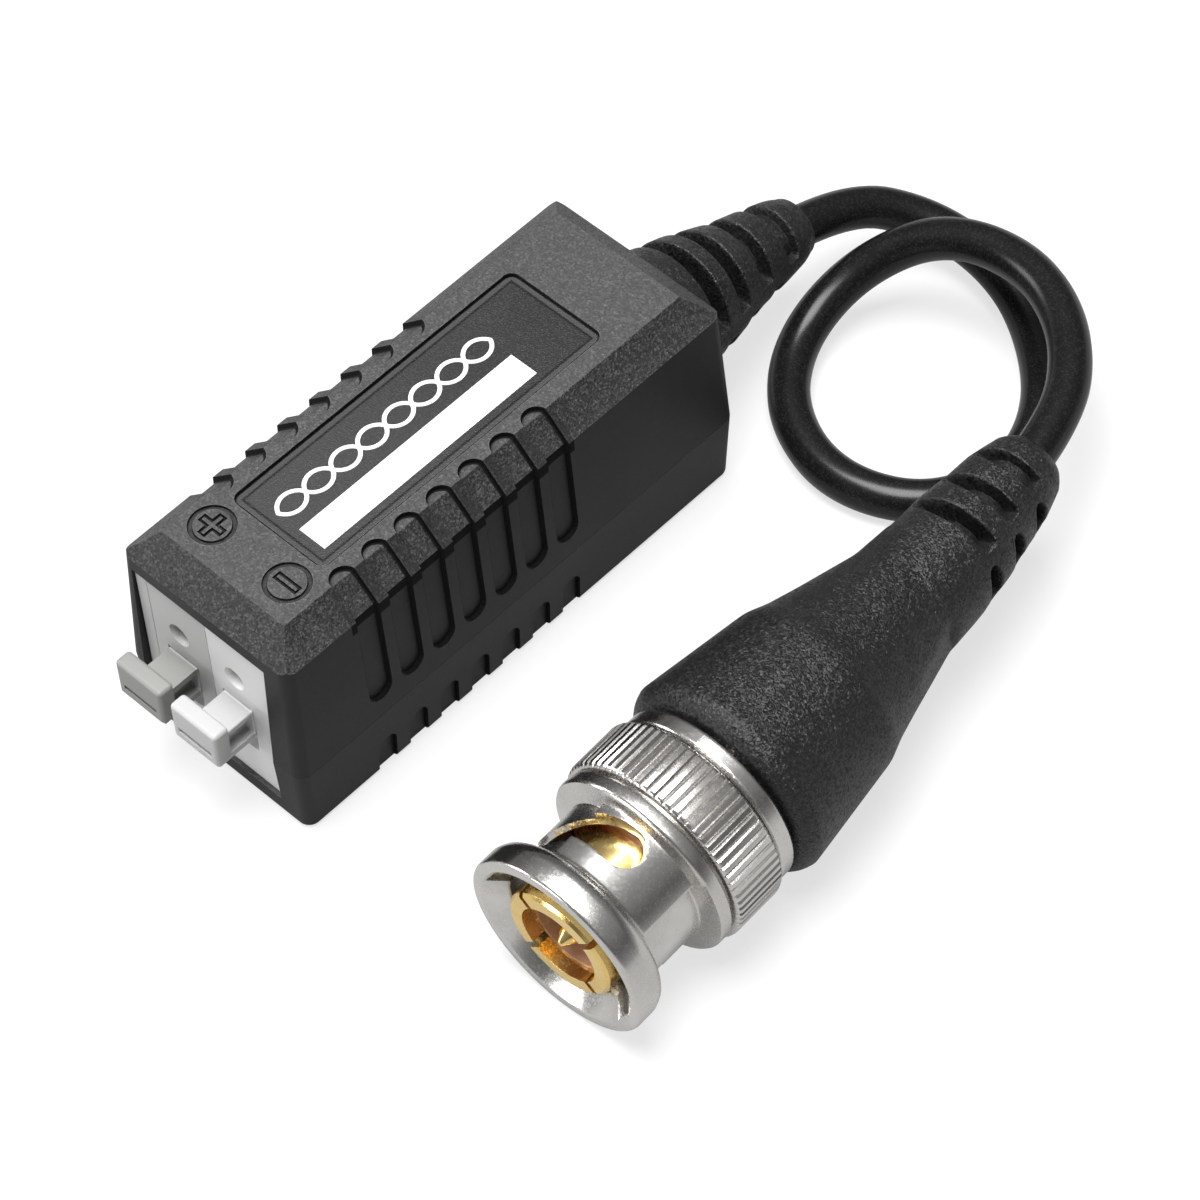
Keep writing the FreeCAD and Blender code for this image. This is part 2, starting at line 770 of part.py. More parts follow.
def housing_strain_relief(cable):
    """Slotted sleeve on the pigtail, with its neck and flange caught between the two shells."""
    base = relief_profile[0][1]
    sleeve = turned([(-reach, base)] + relief_profile, 0)
    top = [slot_ring(s, relief_slot_width, relief_slot_span, 90, relief_core) for s in relief_slots]
    low = [slot_ring(s, relief_slot_width, relief_slot_span, -90, relief_core) for s in relief_low_slots]
    sleeve = sleeve.cut(Part.makeCompound(top + low))
    run = cable_route[2] - cable_route[1]
    sleeve.rotate(ORIGIN, X_AXIS, math.degrees(math.atan2(run.z, run.y)))
    sleeve.translate(Vec(0, body_length / 2, exit_height))
    sleeve = sleeve.cut(cover_block(0, parting_height, body_height + reach))
    sleeve = sleeve.cut(case_block(0, -reach, parting_height))
    inner_face = body_length / 2 - (exit_height - parting_height) * cover_lean - side_wall - slide_gap
    flange_front_y = inner_face - relief_flange_thickness - relief_flange * cover_lean
    flange_back_y = flange_front_y + relief_flange_thickness
    flange = rod(relief_flange, Vec(0, flange_front_y, exit_height), Vec(0, flange_back_y, exit_height))
    neck_end_y = body_length / 2 + seat_gap
    neck = relief_passage(0).common(box(-relief_flange, relief_flange, flange_front_y, neck_end_y,
                                        parting_height + seat_gap, exit_height + relief_flange))
    low_neck = rod(relief_neck, Vec(0, flange_front_y, exit_height), Vec(0, neck_end_y, exit_height))
    return joined([sleeve, flange, neck, low_neck]).cut(cable)


def placed(solid):
    """Moves a piece from the plug's own axis to its place beside the housing."""
    solid.rotate(ORIGIN, X_AXIS, plug_pitch)
    solid.rotate(ORIGIN, Z_AXIS, plug_turn)
    solid.translate(plug_rim)
    return solid


def knurled_band():
    points = []
    for i in range(2 * knurl_count):
        radius = sleeve_grip_radius - knurl_depth * (i % 2)
        angle = math.pi * i / knurl_count
        points.append(Vec(radius * math.cos(angle), knurl_front, radius * math.sin(angle)))
    band = Part.Face(Part.makePolygon(points + points[:1])).extrude(Vec(0, knurl_back - knurl_front, 0))
    low = sleeve_grip_radius - edge_bevel
    bevel = turned([(knurl_front, low), (knurl_front + edge_bevel, sleeve_grip_radius),
                    (knurl_back - edge_bevel, sleeve_grip_radius), (knurl_back, low)], 0)
    return band.common(bevel)


def on_sleeve(solid, angle):
    """Turns a piece built at the sleeve's right side to an angle round the plug axis."""
    return solid.rotated(ORIGIN, Y_AXIS, -angle)


def stud_path(angle):
    """Channel, sloping slot and end hole that a jack's stud runs through, from one side of the sleeve."""
    half = stud_channel_width / 2
    channel = box(0, stud_channel_radius, -reach, stud_channel_end + ramp_half_width, -half, half)
    cuts = [on_sleeve(channel, angle)]
    swing = detent_angle - channel_angle
    for i in range(ramp_steps):
        step = swing / ramp_steps
        share = min((i + 0.5) / ramp_steps / ramp_share, 1)
        place = stud_channel_end + (detent_place - stud_channel_end) * share
        half_arc = ramp_overlap * sleeve_radius * math.radians(abs(step)) / 2
        slot = box(0, sleeve_grip_radius, place - ramp_half_width, place + ramp_half_width, -half_arc,
                   half_arc)
        cuts.append(on_sleeve(slot, angle + (i + 0.5) * step))
    hole = Part.makeCylinder(detent_radius, sleeve_grip_radius, Vec(0, detent_place, 0), X_AXIS)
    cuts.append(on_sleeve(hole, angle + swing))
    return cuts


def bayonet_sleeve():
    hub_back = nut_front - seat_gap
    outer = turned([(0, rim_radius - rim_bevel), (rim_bevel, rim_radius), (rim_land, rim_radius),
                    (rim_shoulder, rim_shoulder_radius), (rim_foot, sleeve_radius),
                    (ring_front, sleeve_radius), (ring_front + edge_bevel, sleeve_ring_radius),
                    (ring_back - edge_bevel / 2, sleeve_ring_radius), (ring_back, sleeve_groove_radius),
                    (hub_back, sleeve_groove_radius)], 0)
    skin = rod(rim_radius, Vec(0, rim_foot - edge_bevel / 2, 0), Vec(0, ring_front, 0))
    skin = skin.cut(rod(thin_radius, ORIGIN, Vec(0, ring_front, 0)))
    span = sleeve_grip_radius
    width = span * math.tan(math.radians(thin_half_angle))
    wedge = Part.makePolygon([ORIGIN, Vec(span, 0, -width), Vec(span, 0, width), ORIGIN])
    wedge = Part.Face(wedge).extrude(Vec(0, ring_front, 0))
    zones = [on_sleeve(wedge, channel_angle + thin_turn + turn) for turn in (0, 180)]
    outer = outer.cut(skin.common(Part.makeCompound(zones)))
    sleeve = joined([outer, knurled_band()])
    sleeve = sleeve.cut(rod(sleeve_bore_radius, Vec(0, -reach, 0), Vec(0, shoulder_front, 0)))
    sleeve = sleeve.cut(rod(neck_radius + slide_gap, ORIGIN, Vec(0, hub_back + reach, 0)))
    cuts = stud_path(channel_angle) + stud_path(channel_angle + 180)
    lead_in = turned([(-seat_gap, mouth_radius), (0, mouth_radius), (mouth_depth, sleeve_bore_radius)], 0)
    return placed(sleeve.cut(joined(cuts)).cut(lead_in))


def dished_washer(back, facing):
    """Cone-shaped spring washer that rises toward the rim or away from it."""
    inner = neck_radius + slide_gap
    outer = sleeve_bore_radius - slide_gap
    points = [Vec(inner, 0, 0), Vec(outer, dished_rise, 0), Vec(outer, dished_rise + dished_sheet, 0),
              Vec(inner, dished_sheet, 0), Vec(inner, 0, 0)]
    washer = Part.Face(Part.makePolygon(points)).revolve(ORIGIN, Y_AXIS, 360)
    if facing < 0:
        washer = washer.mirror(ORIGIN, Y_AXIS)
    washer.translate(Vec(0, back, 0))
    return washer


def spring_washers():
    first = dished_washer(flange_back, 1)
    second = dished_washer(washer_front, -1)
    return placed(Part.makeCompound([first, second]))


def thrust_washer():
    ring = rod(sleeve_bore_radius - slide_gap, Vec(0, washer_front, 0), Vec(0, shoulder_front, 0))
    return placed(ring.cut(rod(neck_radius + slide_gap, ORIGIN, Vec(0, shoulder_front + reach, 0))))


def plug_body():
    flange_radius = sleeve_bore_radius - slide_gap
    solid = turned([(flange_front, flange_radius), (flange_back, flange_radius), (flange_back, neck_radius),
                    (body_neck_end, neck_radius), (body_neck_end, cable_radius),
                    (tail_tube_end, cable_radius)], 0)
    solid = solid.cut(rod(contact_spigot_radius, ORIGIN, Vec(0, flange_front + contact_spigot_length, 0)))
    solid = solid.cut(rod(contact_bore_radius, ORIGIN, Vec(0, insulator_back, 0)))
    return placed(solid.cut(rod(core_wire_radius, ORIGIN, Vec(0, tail_tube_end + reach, 0))))


def retaining_nut():
    nut = rod(nut_radius, Vec(0, nut_front, 0), Vec(0, nut_front + nut_thickness, 0))
    nut = nut.makeFillet(nut_edge, nut.Edges)
    return placed(nut.cut(rod(neck_radius, ORIGIN, Vec(0, nut_front + reach, 0))))


def outer_contact():
    """Slotted shield contact, with a spigot pressed into the plug's body."""
    solid = turned([(contact_setback, contact_radius - edge_bevel / 2),
                    (contact_setback + edge_bevel / 2, contact_radius), (gasket_front, contact_radius),
                    (gasket_front, gasket_seat_radius), (flange_front, gasket_seat_radius),
                    (flange_front, contact_spigot_radius),
                    (flange_front + contact_spigot_length, contact_spigot_radius)], 0)
    solid = solid.cut(rod(contact_bore_radius, ORIGIN, Vec(0, body_neck_end, 0)))
    half = contact_slit / 2
    slit = box(-contact_radius, contact_radius, 0, contact_slit_end, -half, half)
    for angle in (45, 135):
        solid = solid.cut(on_sleeve(slit, angle))
    return placed(solid)


def seal_gasket():
    ring = rod(sleeve_bore_radius - slide_gap, Vec(0, gasket_front, 0), Vec(0, flange_front, 0))
    return placed(ring.cut(rod(gasket_seat_radius, ORIGIN, Vec(0, flange_front + reach, 0))))


def insulator():
    solid = rod(contact_bore_radius, Vec(0, insulator_front, 0), Vec(0, insulator_back, 0))
    dish = turned([(insulator_front - seat_gap, insulator_dish_radius),
                   (insulator_front + insulator_dish_depth, insulator_floor_radius)], 0)
    return placed(solid.cut(dish).cut(pin_shape()))


def pin_shape():
    collar_front = insulator_front + insulator_dish_depth
    return turned([(pin_tip, pin_radius / 4), (pin_tip + pin_taper, pin_radius), (collar_front, pin_radius),
                   (collar_front, pin_collar_radius), (pin_shoulder, pin_collar_radius),
                   (pin_shoulder, pin_tail_radius), (insulator_back, pin_tail_radius)], 0)


def centre_pin():
    return placed(pin_shape())


def cable_core():
    return placed(rod(core_wire_radius, Vec(0, insulator_back, 0), Vec(0, cable_end_place, 0)))


def crimp_ferrule():
    """Crimped tube over the body's tail and the cable's jacket."""
    solid = rod(cable_radius + ferrule_wall, Vec(0, ferrule_front, 0), Vec(0, ferrule_back, 0))
    return placed(solid.cut(rod(cable_radius + seat_gap, ORIGIN, Vec(0, ferrule_back + reach, 0))))


def plug_boot(cable):
    """Boot moulded over the plug's back, the ferrule and the cable, with a slotted strain relief."""
    profile = [(0, boot_radius - boot_face_drop), (boot_edge / 4, boot_radius - boot_face_drop / 2),
               (boot_edge / 2, boot_radius - boot_face_drop / 5), (boot_edge, boot_radius)]
    boot = turned(profile + boot_taper, boot_front)
    for side in (-1, 1):
        flat = [boot_flat_front, boot_flat_back, (boot_flat_back[0], sleeve_grip_radius + reach),
                (boot_flat_front[0], sleeve_grip_radius + reach)]
        points = [Vec(side * x, boot_front + s, -body_height) for s, x in flat]
        boot = boot.cut(Part.Face(Part.makePolygon(points + points[:1])).extrude(Vec(0, 0, 2 * body_height)))
    relief = turned(boot_relief_profile, 0)
    slots = []
    for toward in (90, -90):
        slots += [slot_ring(s, boot_slot_width, boot_slot_span, toward, boot_core) for s in boot_slots]
    for toward in (0, 180):
        slots += [slot_ring(s, boot_slot_width, boot_side_span, toward, boot_core) for s in boot_side_slots]
    relief = relief.cut(Part.makeCompound(slots))
    run = cable_route[-3] - cable_route[-2]
    relief.rotate(ORIGIN, Z_AXIS, math.degrees(math.atan2(-run.x, run.y)) - plug_turn)
    relief.translate(Vec(0, boot_relief_start, 0))
    boot = placed(boot.fuse(relief))
    boot = boot.cut(placed(rod(neck_radius, ORIGIN, Vec(0, body_neck_end, 0))))
    boot = boot.cut(placed(rod(cable_radius, ORIGIN, Vec(0, ferrule_front, 0))))
    ferrule = rod(cable_radius + ferrule_wall, Vec(0, ferrule_front, 0), Vec(0, ferrule_back, 0))
    return boot.cut(placed(ferrule)).cut(cable)


def write(node, shape):
    shape.exportStep("parts/" + node + ".step")
    print(node, len(shape.Solids), round(shape.Volume, 3), shape.isValid())


def main():
    os.makedirs("parts", exist_ok=True)
    cable, path, radii = tube(cable_route, cable_radius)
    print("cord radii", [round(r, 1) for r in radii])
    print("cord length", round(path.Length, 1), "volume over section times length",
          round(cable.Volume / (math.pi * cable_radius ** 2 * path.Length), 4))
    nodes = {
        "upper_cover": upper_cover(),
        "lower_case": lower_case(),
        "top_label": top_label(),
        "label_white_bar": label_white_bar(),
        "label_wave_print": label_wave_print(),
        "terminal_side_lid": terminal_side_lid(),
        "circuit_board": circuit_board(),
        "ferrite_core": ferrite_core(),
        "winding_a": winding(0),
        "winding_b": winding(180),
        "surge_suppressor": surge_suppressor(),
        "resistor": resistor(),
        "ceramic_capacitor": ceramic_capacitor(),
        "housing_strain_relief": housing_strain_relief(cable),
        "coax_cable": cable,
        "centre_wire_tail": tail(0, tail_forward),
        "braid_tail": tail(-tail_spacing, -tail_forward),
        "plug_boot": plug_boot(cable),
        "plug_body": plug_body(),
        "retaining_nut": retaining_nut(),
        "crimp_ferrule": crimp_ferrule(),
        "cable_core": cable_core(),
        "outer_contact": outer_contact(),
        "insulator": insulator(),
        "centre_pin": centre_pin(),
        "seal_gasket": seal_gasket(),
        "spring_washers": spring_washers(),
        "thrust_washer": thrust_washer(),
        "bayonet_sleeve": bayonet_sleeve(),
    }
    for index, colour in enumerate(("grey", "white")):
        x = pole_x[index]
        nodes[colour + "_terminal_body"] = terminal_pole(index)
        nodes[colour + "_contact_strip"] = contact_strip(x, 0)
        nodes[colour + "_clamp_spring"] = clamp_spring(x)
        nodes[colour + "_lever"] = lever(x)
    for node, shape in nodes.items():
        write(node, shape)


main()
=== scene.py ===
import bpy
import bmesh
import json
import math
import random
from mathutils import Matrix, Vector

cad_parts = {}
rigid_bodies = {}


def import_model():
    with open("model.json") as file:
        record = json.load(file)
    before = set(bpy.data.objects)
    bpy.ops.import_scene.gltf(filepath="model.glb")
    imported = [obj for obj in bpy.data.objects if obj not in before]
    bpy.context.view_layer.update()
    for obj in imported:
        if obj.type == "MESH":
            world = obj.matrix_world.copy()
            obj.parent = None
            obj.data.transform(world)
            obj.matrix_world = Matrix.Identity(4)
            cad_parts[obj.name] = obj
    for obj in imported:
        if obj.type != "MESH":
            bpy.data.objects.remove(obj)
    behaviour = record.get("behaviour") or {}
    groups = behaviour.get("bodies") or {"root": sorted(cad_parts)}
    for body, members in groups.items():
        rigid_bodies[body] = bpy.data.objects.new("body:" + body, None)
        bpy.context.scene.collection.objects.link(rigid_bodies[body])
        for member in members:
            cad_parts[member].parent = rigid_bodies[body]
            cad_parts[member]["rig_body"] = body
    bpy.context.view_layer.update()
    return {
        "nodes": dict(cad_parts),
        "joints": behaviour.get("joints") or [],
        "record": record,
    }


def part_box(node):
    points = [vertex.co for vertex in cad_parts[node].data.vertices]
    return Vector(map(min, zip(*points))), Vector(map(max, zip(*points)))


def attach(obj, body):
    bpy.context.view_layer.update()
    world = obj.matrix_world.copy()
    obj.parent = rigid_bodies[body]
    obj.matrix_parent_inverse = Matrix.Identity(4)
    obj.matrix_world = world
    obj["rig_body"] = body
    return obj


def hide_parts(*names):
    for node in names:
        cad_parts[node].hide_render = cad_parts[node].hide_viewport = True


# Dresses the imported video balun: moulded housing, cable with its two reliefs, bayonet plug, light and camera.
# Settings are in millimetres, like the drawings of the part, and mm turns them into metres.

mm = 0.001
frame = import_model()
nodes = frame["nodes"]
housing = "balun"

# the plug's own frame, from the joint that its sleeve turns about
sleeveTurn = next(j for j in frame["joints"] if j["name"] == "sleeve_turn")
plugRim = Vector(sleeveTurn["pos_m"])
plugBack = -Vector(sleeveTurn["axis"]).normalized()
plugSide = plugBack.cross(Vector((0, 0, 1))).normalized()
plugUp = plugSide.cross(plugBack)


# camera

cameraPlace = {
    "azimuth": 46.877, "elevation": 53.023, "roll": -3.988,
    "distance": 313.745, "target": (11.448, 3.486, 5.0),
    "lens": 144.03, "sensor": 36.0, "near": 10.0, "far": 5000.0,
}


def makeCamera(s):
    azimuth, elevation, roll = (math.radians(s[k]) for k in ("azimuth", "elevation", "roll"))
    back = Vector((math.sin(azimuth) * math.cos(elevation), -math.cos(azimuth) * math.cos(elevation),
                   math.sin(elevation)))
    side = Vector((0, 0, 1)).cross(back).normalized()
    top = back.cross(side)
    right = side * math.cos(roll) + top * math.sin(roll)
    up = top * math.cos(roll) - side * math.sin(roll)
    lens = bpy.data.cameras.new("camera")
    lens.lens = s["lens"]
    lens.sensor_width = s["sensor"]
    lens.clip_start = s["near"] * mm
    lens.clip_end = s["far"] * mm
    camera = bpy.data.objects.new("camera", lens)
    turn = Matrix((right, up, back)).transposed().to_4x4()
    camera.matrix_world = Matrix.Translation((Vector(s["target"]) + back * s["distance"]) * mm) @ turn
    bpy.context.scene.collection.objects.link(camera)
    bpy.context.scene.camera = camera


makeCamera(cameraPlace)
print("camera placed")


# shader helpers; an output knows its own node tree, so formulas need not name it

def feed(socket, value):
    # an output is linked to the socket, and a number, a colour or a vector is set on it
    if isinstance(value, bpy.types.NodeSocket):
        socket.id_data.links.new(value, socket)
    else:
        socket.default_value = value


def addNode(tree, kind, values=None, **settings):
    node = tree.nodes.new(kind)
    for key, value in settings.items():
        setattr(node, key, value)
    for key, value in (values or {}).items():
        feed(node.inputs[key], value)
    return node


def addMath(operation, first, *others, clamp=False):
    # several values are taken from left to right
    tree = next(v.id_data for v in (first, *others) if isinstance(v, bpy.types.NodeSocket))
    for other in others or (0.0,):
        node = addNode(tree, "ShaderNodeMath", {0: first, 1: other}, operation=operation, use_clamp=clamp)
        first = node.outputs[0]
    return first


def plus(*values, clamp=False):
    return addMath("ADD", *values, clamp=clamp)


def minus(*values, clamp=False):
    return addMath("SUBTRACT", *values, clamp=clamp)


def times(*values):
    return addMath("MULTIPLY", *values)


def absolute(value):
    return addMath("ABSOLUTE", value)


def addRange(value, low, high, newLow=0.0, newHigh=1.0):
    return addNode(value.id_data, "ShaderNodeMapRange",
                   {0: value, 1: low, 2: high, 3: newLow, 4: newHigh}).outputs[0]


def spread(mask, low, high):
    # a mask from zero to one, as values from low to high
    return addRange(mask, 0, 1, low, high)


def addVector(operation, first, *other):
    node = addNode(first.id_data, "ShaderNodeVectorMath", dict(enumerate((first, *other))), operation=operation)
    return node.outputs["Value" if operation in ("DOT_PRODUCT", "LENGTH") else "Vector"]


def splitVector(vector):
    return addNode(vector.id_data, "ShaderNodeSeparateXYZ", {0: vector}).outputs


def blendColour(mask, low, high):
    node = addNode(mask.id_data, "ShaderNodeMix", {"Factor": mask, 6: low, 7: high}, data_type="RGBA")
    return node.outputs[2]


def addRamp(value, stops, interpolation="LINEAR"):
    node = addNode(value.id_data, "ShaderNodeValToRGB", {0: value})
    ramp = node.color_ramp
    ramp.interpolation = interpolation
    while len(ramp.elements) < len(stops):
        ramp.elements.new(1.0)
    for element, (spot, colour) in zip(ramp.elements, stops):
        element.position = spot
        element.color = colour
    return node.outputs[0]


def objectPoint(tree):
    return addNode(tree, "ShaderNodeTexCoord").outputs["Object"]


def grey(value):
    return value, value, value, 1.0


def lighter(colour, share):
    return tuple(min(1.0, c * share) for c in colour[:3]) + (1.0,)


# shared node groups

def newGroup(name, **inputs):
    group = bpy.data.node_groups.new(name, "ShaderNodeTree")
    for title, value in inputs.items():
        socket = group.interface.new_socket(title, in_out="INPUT", socket_type="NodeSocketFloat")
        socket.default_value = value
    return group, group.nodes.new("NodeGroupInput").outputs


def closeGroup(group, kind="NodeSocketFloat", **outputs):
    put = group.nodes.new("NodeGroupOutput")
    for title, value in outputs.items():
        group.interface.new_socket(title, in_out="OUTPUT", socket_type=kind)
        feed(put.inputs[title], value)
    return group


def makeGrainGroup():
    # spark-eroded mould skin: sharp little pits at two sizes, and a mask of the spots that catch the light
    group, given = newGroup("sparkGrain", Scale=7000.0)
    point = objectPoint(group)

    def texture(kind, share, **values):
        return addNode(group, kind, {"Vector": point, "Scale": times(given["Scale"], share), **values}).outputs

    cloud = texture("ShaderNodeTexNoise", 1.0, Detail=2.0, Roughness=0.75)
    pits = texture("ShaderNodeTexVoronoi", 0.9)
    flecks = texture("ShaderNodeTexVoronoi", 1.2)
    split = addNode(group, "ShaderNodeSeparateColor", {0: flecks["Color"]})
    return closeGroup(group, Height=plus(cloud[0], times(pits["Distance"], 0.6)),
                      Fleck=addRange(split.outputs[0], 0.6, 0.95))


def makeFacetGroup():
    # etched skin seen close: each tiny crater leans its own way and catches the light or not
    group, given = newGroup("facetGrain", Scale=7000.0, Tilt=0.4)
    cells = addNode(group, "ShaderNodeTexVoronoi", {"Vector": objectPoint(group), "Scale": given["Scale"]})
    lean = addVector("SUBTRACT", cells.outputs["Color"], (0.5, 0.5, 0.5))
    sized = addNode(group, "ShaderNodeVectorMath", {0: lean, "Scale": given["Tilt"]}, operation="SCALE")
    facing = addNode(group, "ShaderNodeNewGeometry").outputs["Normal"]
    turned = addVector("ADD", facing, sized.outputs[0])
    return closeGroup(group, "NodeSocketVector", Normal=addVector("NORMALIZE", turned))


def makeCreviceGroup():
    # one on open faces, down to zero in narrow grooves and at the foot of a wall
    group, given = newGroup("creviceShade", Reach=0.5, Low=0.45, High=0.8)
    near = addNode(group, "ShaderNodeAmbientOcclusion", {"Distance": times(given["Reach"], mm)}, samples=6,
                   only_local=True)
    return closeGroup(group, Open=addRange(near.outputs["AO"], given["Low"], given["High"]))


def makeMottleGroup():
    # soft uneven patches, for handling and flow marks
    group, given = newGroup("softMottle", Scale=120.0, Contrast=0.25)
    cloud = addNode(group, "ShaderNodeTexNoise", {"Vector": objectPoint(group), "Scale": given["Scale"],
                                                  "Detail": 3.0, "Roughness": 0.55})
    return closeGroup(group, Mask=addRange(cloud.outputs[0], minus(0.5, given["Contrast"]),
                                           plus(0.5, given["Contrast"])))


def makeEdgeGroup():
    # where an outer edge is close: handling polishes it, and ink or plate thins there
    group, given = newGroup("edgeRub", Reach=0.25, Break=900.0)
    near = addNode(group, "ShaderNodeBevel", {"Radius": times(given["Reach"], mm)}, samples=4)
    flat = addNode(group, "ShaderNodeNewGeometry").outputs["Normal"]
    edge = addRange(addVector("DOT_PRODUCT", near.outputs[0], flat), 0.995, 0.9)
    cloud = addNode(group, "ShaderNodeTexNoise", {"Vector": objectPoint(group), "Scale": given["Break"],
                                                  "Detail": 3.0})
    return closeGroup(group, Mask=times(edge, addRange(cloud.outputs[0], 0.35, 0.65)))


def makeLatheGroup():
    # fine tool lines round the plug's axis, and cloudy streaks
    group, given = newGroup("latheLines", Lines=9000.0)
    point = objectPoint(group)
    place = addVector("DOT_PRODUCT", addVector("SUBTRACT", point, plugRim), plugBack)
    lines = addNode(group, "ShaderNodeTexNoise", {"W": times(place, given["Lines"]), "Scale": 1.0,
                                                  "Detail": 3.0, "Roughness": 0.7}, noise_dimensions="1D")
    cloud = addNode(group, "ShaderNodeTexNoise", {"Vector": point, "Scale": 260.0, "Detail": 4.0,
                                                  "Roughness": 0.6})
    return closeGroup(group, Height=lines.outputs[0], Streak=addRange(cloud.outputs[0], 0.35, 0.7))


groups = {"grain": makeGrainGroup(), "facet": makeFacetGroup(), "crevice": makeCreviceGroup(),
          "mottle": makeMottleGroup(), "edge": makeEdgeGroup(), "lathe": makeLatheGroup()}
print("node groups made")


# materials, one for each slot of the record

finishes = {}


def newFinish(slot, values):
    # the material has the slot's name in camel case
    first, *others = slot.split("_")
    finish = bpy.data.materials.new(first + "".join(word.title() for word in others))
    finish.use_nodes = True
    finishes[slot] = finish
    shader = finish.node_tree.nodes["Principled BSDF"]
    for key, value in values.items():
        shader.inputs[key].default_value = value
    return finish.node_tree, shader


def useGroup(tree, key, **values):
    return addNode(tree, "ShaderNodeGroup", values, node_tree=groups[key]).outputs


def paint(piece, slot):
    piece.data.materials.clear()
    piece.data.materials.append(finishes[slot])


def addFlecks(mask, share, base, colour):
    return blendColour(times(mask, share), base, colour)


def dress(shader, colour, roughness, height, depth, facet=None):
    # the last step of every finish; the depth of the relief is in millimetres
    bump = addNode(shader.id_data, "ShaderNodeBump", {"Height": height, "Distance": depth * mm})
    if facet:
        feed(bump.inputs["Normal"], facet)
    for key, value in (("Base Color", colour), ("Roughness", roughness), ("Normal", bump.outputs[0])):
        feed(shader.inputs[key], value)


gripRows = {
    # the rows along the housing, and the slope that they cross
    "first": -12.78, "pitch": 2.86, "count": 7, "width": 1.95, "tip": 4.6, "high": 18.2, "low": 15.2,
    # the round ends of a grip, on the top and on the side, and the painted shadow along the foot of its wall
    "tipMiddle": 5.725, "endMiddle": 8.575, "foot": 0.2, "footFrom": -0.7, "footTo": 0.4, "footBlur": 0.05,
    "blur": 0.02, "slack": 0.03, "raised": 0.15, "upright": 0.35, "turned": (0.75, 0.9),
}


def gripMasks(s, point, facing):
    # two masks of the rows of grips: the plain stretches between them, and their walls, where painted shade
    # goes
    turns = addMath("DIVIDE", minus(point[1], s["first"] * mm), s["pitch"] * mm)
    off = minus(turns, addMath("ROUND", turns))
    share = s["width"] / s["pitch"] / 2
    inRow = addMath("LESS_THAN", absolute(minus(turns, (s["count"] - 1) / 2)), s["count"] / 2)
    rib = times(addRange(absolute(off), share - s["blur"], share + s["blur"]), inRow)
    aside = addMath("GREATER_THAN", absolute(point[0]), s["tip"] * mm)
    raised = addMath("GREATER_THAN", point[2], (s["low"] + s["raised"]) * mm)
    upright = addMath("LESS_THAN", absolute(facing[2]), s["upright"])
    turned = addMath("MAXIMUM", addRange(absolute(facing[1]), *s["turned"]), times(upright, raised))
    # a painted shadow line runs along the foot of each grip's wall on the plug's side, round both ends of the
    # grip
    fromMiddle = times(off, s["pitch"])
    half = s["width"] / 2
    pastTip = minus(s["tipMiddle"], times(absolute(point[0]), 1 / mm))
    pastEnd = minus(s["endMiddle"], times(point[2], 1 / mm))
    past = addMath("MAXIMUM", pastTip, pastEnd, 0.0)
    far = addMath("SQRT", plus(times(fromMiddle, fromMiddle), times(past, past)))
    inner = addRange(fromMiddle, half * s["footFrom"], half * s["footTo"], half - s["slack"], half - s["foot"])
    foot = times(addRange(minus(far, inner), 0.0, s["footBlur"]), addMath("LESS_THAN", far, half + s["slack"]))
    return rib, addMath("MAXIMUM", times(turned, inRow, aside), times(foot, times(aside, inRow)))


shellLook = {
    # the top, slope and side tones of the one plastic are painted light and shade: lightest on the top, dark on
    # the sides
    "top": (0.056, 0.0564, 0.0575, 1), "slopeHigh": (0.0225, 0.0227, 0.0232, 1),
    "slopeLow": (0.046, 0.0464, 0.047, 1), "side": (0.012, 0.0123, 0.0128, 1),
    "paintedShade": grey(0.0015), "fleck": grey(0.10), "fleckShare": 0.5, "rub": grey(0.14),
    "ribSmooth": 0.45, "topHeight": 0.42, "sideHeight": 0.05, "depth": 0.055,
    "topTilt": 0.30, "slopeTilt": 0.50, "sideTilt": 0.03,
    "roughness": 0.47, "grained": -0.06, "patched": 0.05, "shut": 0.45,
    # how far up a face looks where it counts as the top, as the slope and as turned to the side
    "upward": (0.9, 0.97), "sloping": (0.2, 0.4), "sideward": (0.4, 0.6),
}


